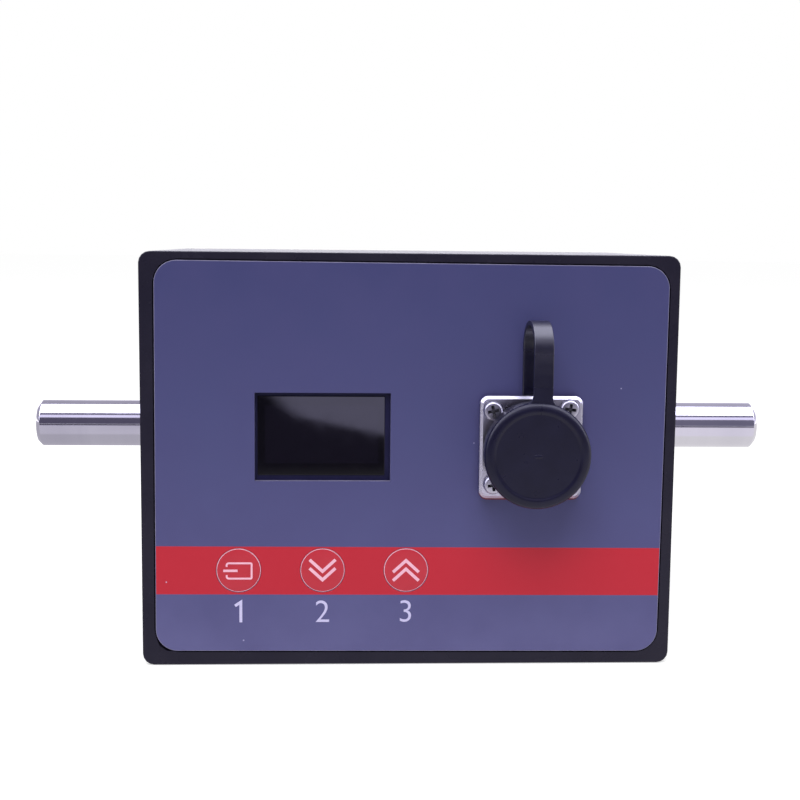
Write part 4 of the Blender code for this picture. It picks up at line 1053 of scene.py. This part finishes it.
def makeFloorFinish(look):
    # white paper that keeps the shadow; to glossy rays it glows instead, as painted reflections: strips,
    # dark where it is far in front of the object, and a painted patch of window light
    paper, shader = startFinish("paleFloor")
    shader.inputs["Base Color"].default_value = (look["floorColour"],) * 3 + (1,)
    shader.inputs["Roughness"].default_value = look["floorRoughness"]
    shader.inputs["Specular IOR Level"].default_value = 0.0
    shader.inputs["Emission Color"].default_value = (1, 1, 1, 1)
    ray = addNode(paper, "ShaderNodeLightPath")
    lift = addNode(paper, "ShaderNodeMath", {1: look["floorLift"]}, operation="MULTIPLY")
    join(paper, ray.outputs["Is Camera Ray"], lift.inputs[0])
    join(paper, lift.outputs[0], shader.inputs["Emission Strength"])

    point = objectPoint(paper)
    parts = splitPoint(paper, point)
    seen = look["farFloor"]
    for name, edge in (
            ("frontFloor", "farEdge"), ("nearFloor", "nearEdge"), ("underFloor", "underEdge")):
        first, last = look[name][0][0], look[name][-1][0]
        strip = colourRamp(paper, between(paper, parts["X"], 0, 1, (first, last)), [
            ((place - first) / (last - first), colour) for place, colour in look[name]])
        seen = blendColours(paper, between(paper, parts["Y"], 0, 1, look[edge]), seen, strip)
    soft = look["windowSoft"]
    inside = between(paper, parts["Y"], 0, 1, look["windowEnd"])
    edges = [between(paper, parts["X"], 1, 0, look["windowSide"])]
    for (startX, startY), (endX, endY) in look["windowLines"]:
        across = Vector((endY - startY, startX - endX, 0)).normalized()
        beyond = addNode(paper, "ShaderNodeVectorMath", operation="DOT_PRODUCT")
        beyond.inputs[1].default_value = across
        join(paper, point, beyond.inputs[0])
        line = across.dot(Vector((startX, startY, 0)))
        edges.append(between(paper, beyond.outputs["Value"], 0, 1, (line - soft, line + soft)))
    for part in edges:
        inside = calculate(paper, "MULTIPLY", inside, part)
    seen = blendColours(paper, inside, seen, look["window"])
    glow = addNode(paper, "ShaderNodeEmission")
    join(paper, seen, glow.inputs["Color"])
    choice = addNode(paper, "ShaderNodeMixShader")
    join(paper, ray.outputs["Is Glossy Ray"], choice.inputs[0])
    join(paper, shader.outputs["BSDF"], choice.inputs[1])
    join(paper, glow.outputs["Emission"], choice.inputs[2])
    join(paper, choice.outputs["Shader"], paper.node_tree.nodes["Material Output"].inputs["Surface"])
    return paper


def makeRoom(look):
    # white to the camera, soft grey light for matt surfaces, and a banded studio for glossy ones
    world = bpy.data.worlds.new("studio")
    bpy.context.scene.world = world
    world.use_nodes = True
    world.node_tree.nodes.clear()
    parts = splitPoint(world, addNode(world, "ShaderNodeTexCoord").outputs["Generated"])
    front = addNode(world, "ShaderNodeMath", {1: -1}, operation="MULTIPLY")
    join(world, parts["Y"], front.inputs[0])
    height = calculate(world, "ARCTAN2", parts["Z"], front.outputs[0])
    studio = colourRamp(world, between(world, height, 0, 1, (-pi, pi)), [
        ((angle + 180) / 360, colour) for angle, colour in look["bands"]])
    right = between(world, parts["X"], 0, 1, look["sideEdge"])
    studio = blendColours(world, right, studio, look["sideHaze"], "ADD")
    ray = addNode(world, "ShaderNodeLightPath").outputs
    seen = blendColours(world, ray["Is Glossy Ray"], (look["skyLight"],) * 3, studio)
    seen = blendColours(world, ray["Is Camera Ray"], seen, (look["cameraWhite"],) * 3)
    sky = addNode(world, "ShaderNodeBackground")
    join(world, seen, sky.inputs["Color"])
    out = addNode(world, "ShaderNodeOutputWorld")
    join(world, sky.outputs["Background"], out.inputs["Surface"])

    floorShape = bmesh.new()
    bmesh.ops.create_circle(floorShape, cap_ends=True, radius=look["floorRadius"], segments=96)
    mesh = bpy.data.meshes.new("floor")
    floorShape.to_mesh(mesh)
    floorShape.free()
    floor = placeObject("floor", mesh)
    floor.location.z = -look["floorDrop"]
    mesh.materials.append(makeFloorFinish(look))


makeRoom(roomLook)

lampLook = {
    "place": (-0.10, -0.55, 0.75), "aim": (0, 0, 0.04), "size": 0.6, "power": 6.2, "colour": (1, 1, 1)}


def makeLamp(look):
    lamp = bpy.data.lights.new("softbox", "AREA")
    lamp.shape = "SQUARE"
    lamp.size = look["size"]
    lamp.energy = look["power"]
    lamp.color = look["colour"]
    holder = placeObject("softbox", lamp)
    place, aim = Vector(look["place"]), Vector(look["aim"])
    holder.location = place
    holder.rotation_euler = (aim - place).to_track_quat("-Z", "Y").to_euler()
    holder.visible_glossy = False


makeLamp(lampLook)

cameraLook = {
    "place": (-14.42, -295.93, 82.56), "yaw": 2.772, "pitch": 6.788, "roll": 0.587,
    "focalPixels": 1347.3, "imagePixels": 800, "sensor": 36, "clip": (0.01, 50),
}


def makeCamera(look):
    yaw, pitch, roll = (radians(look[name]) for name in ("yaw", "pitch", "roll"))
    ahead = Vector((sin(yaw) * cos(pitch), cos(yaw) * cos(pitch), -sin(pitch)))
    level = Vector((cos(yaw), -sin(yaw), 0))
    upward = level.cross(ahead)
    right = cos(roll) * level + sin(roll) * upward
    up = cos(roll) * upward - sin(roll) * level
    lens = bpy.data.cameras.new("camera")
    lens.sensor_width = look["sensor"]
    lens.lens = look["focalPixels"] * look["sensor"] / look["imagePixels"]
    lens.clip_start, lens.clip_end = look["clip"]
    camera = placeObject("camera", lens)
    turn = Matrix((right, up, -ahead)).transposed().to_4x4()
    camera.matrix_world = Matrix.Translation(Vector(look["place"]) * mm) @ turn
    bpy.context.scene.camera = camera


makeCamera(cameraLook)
bpy.context.scene.view_settings.view_transform = "Standard"
print("room, lamp and camera made")
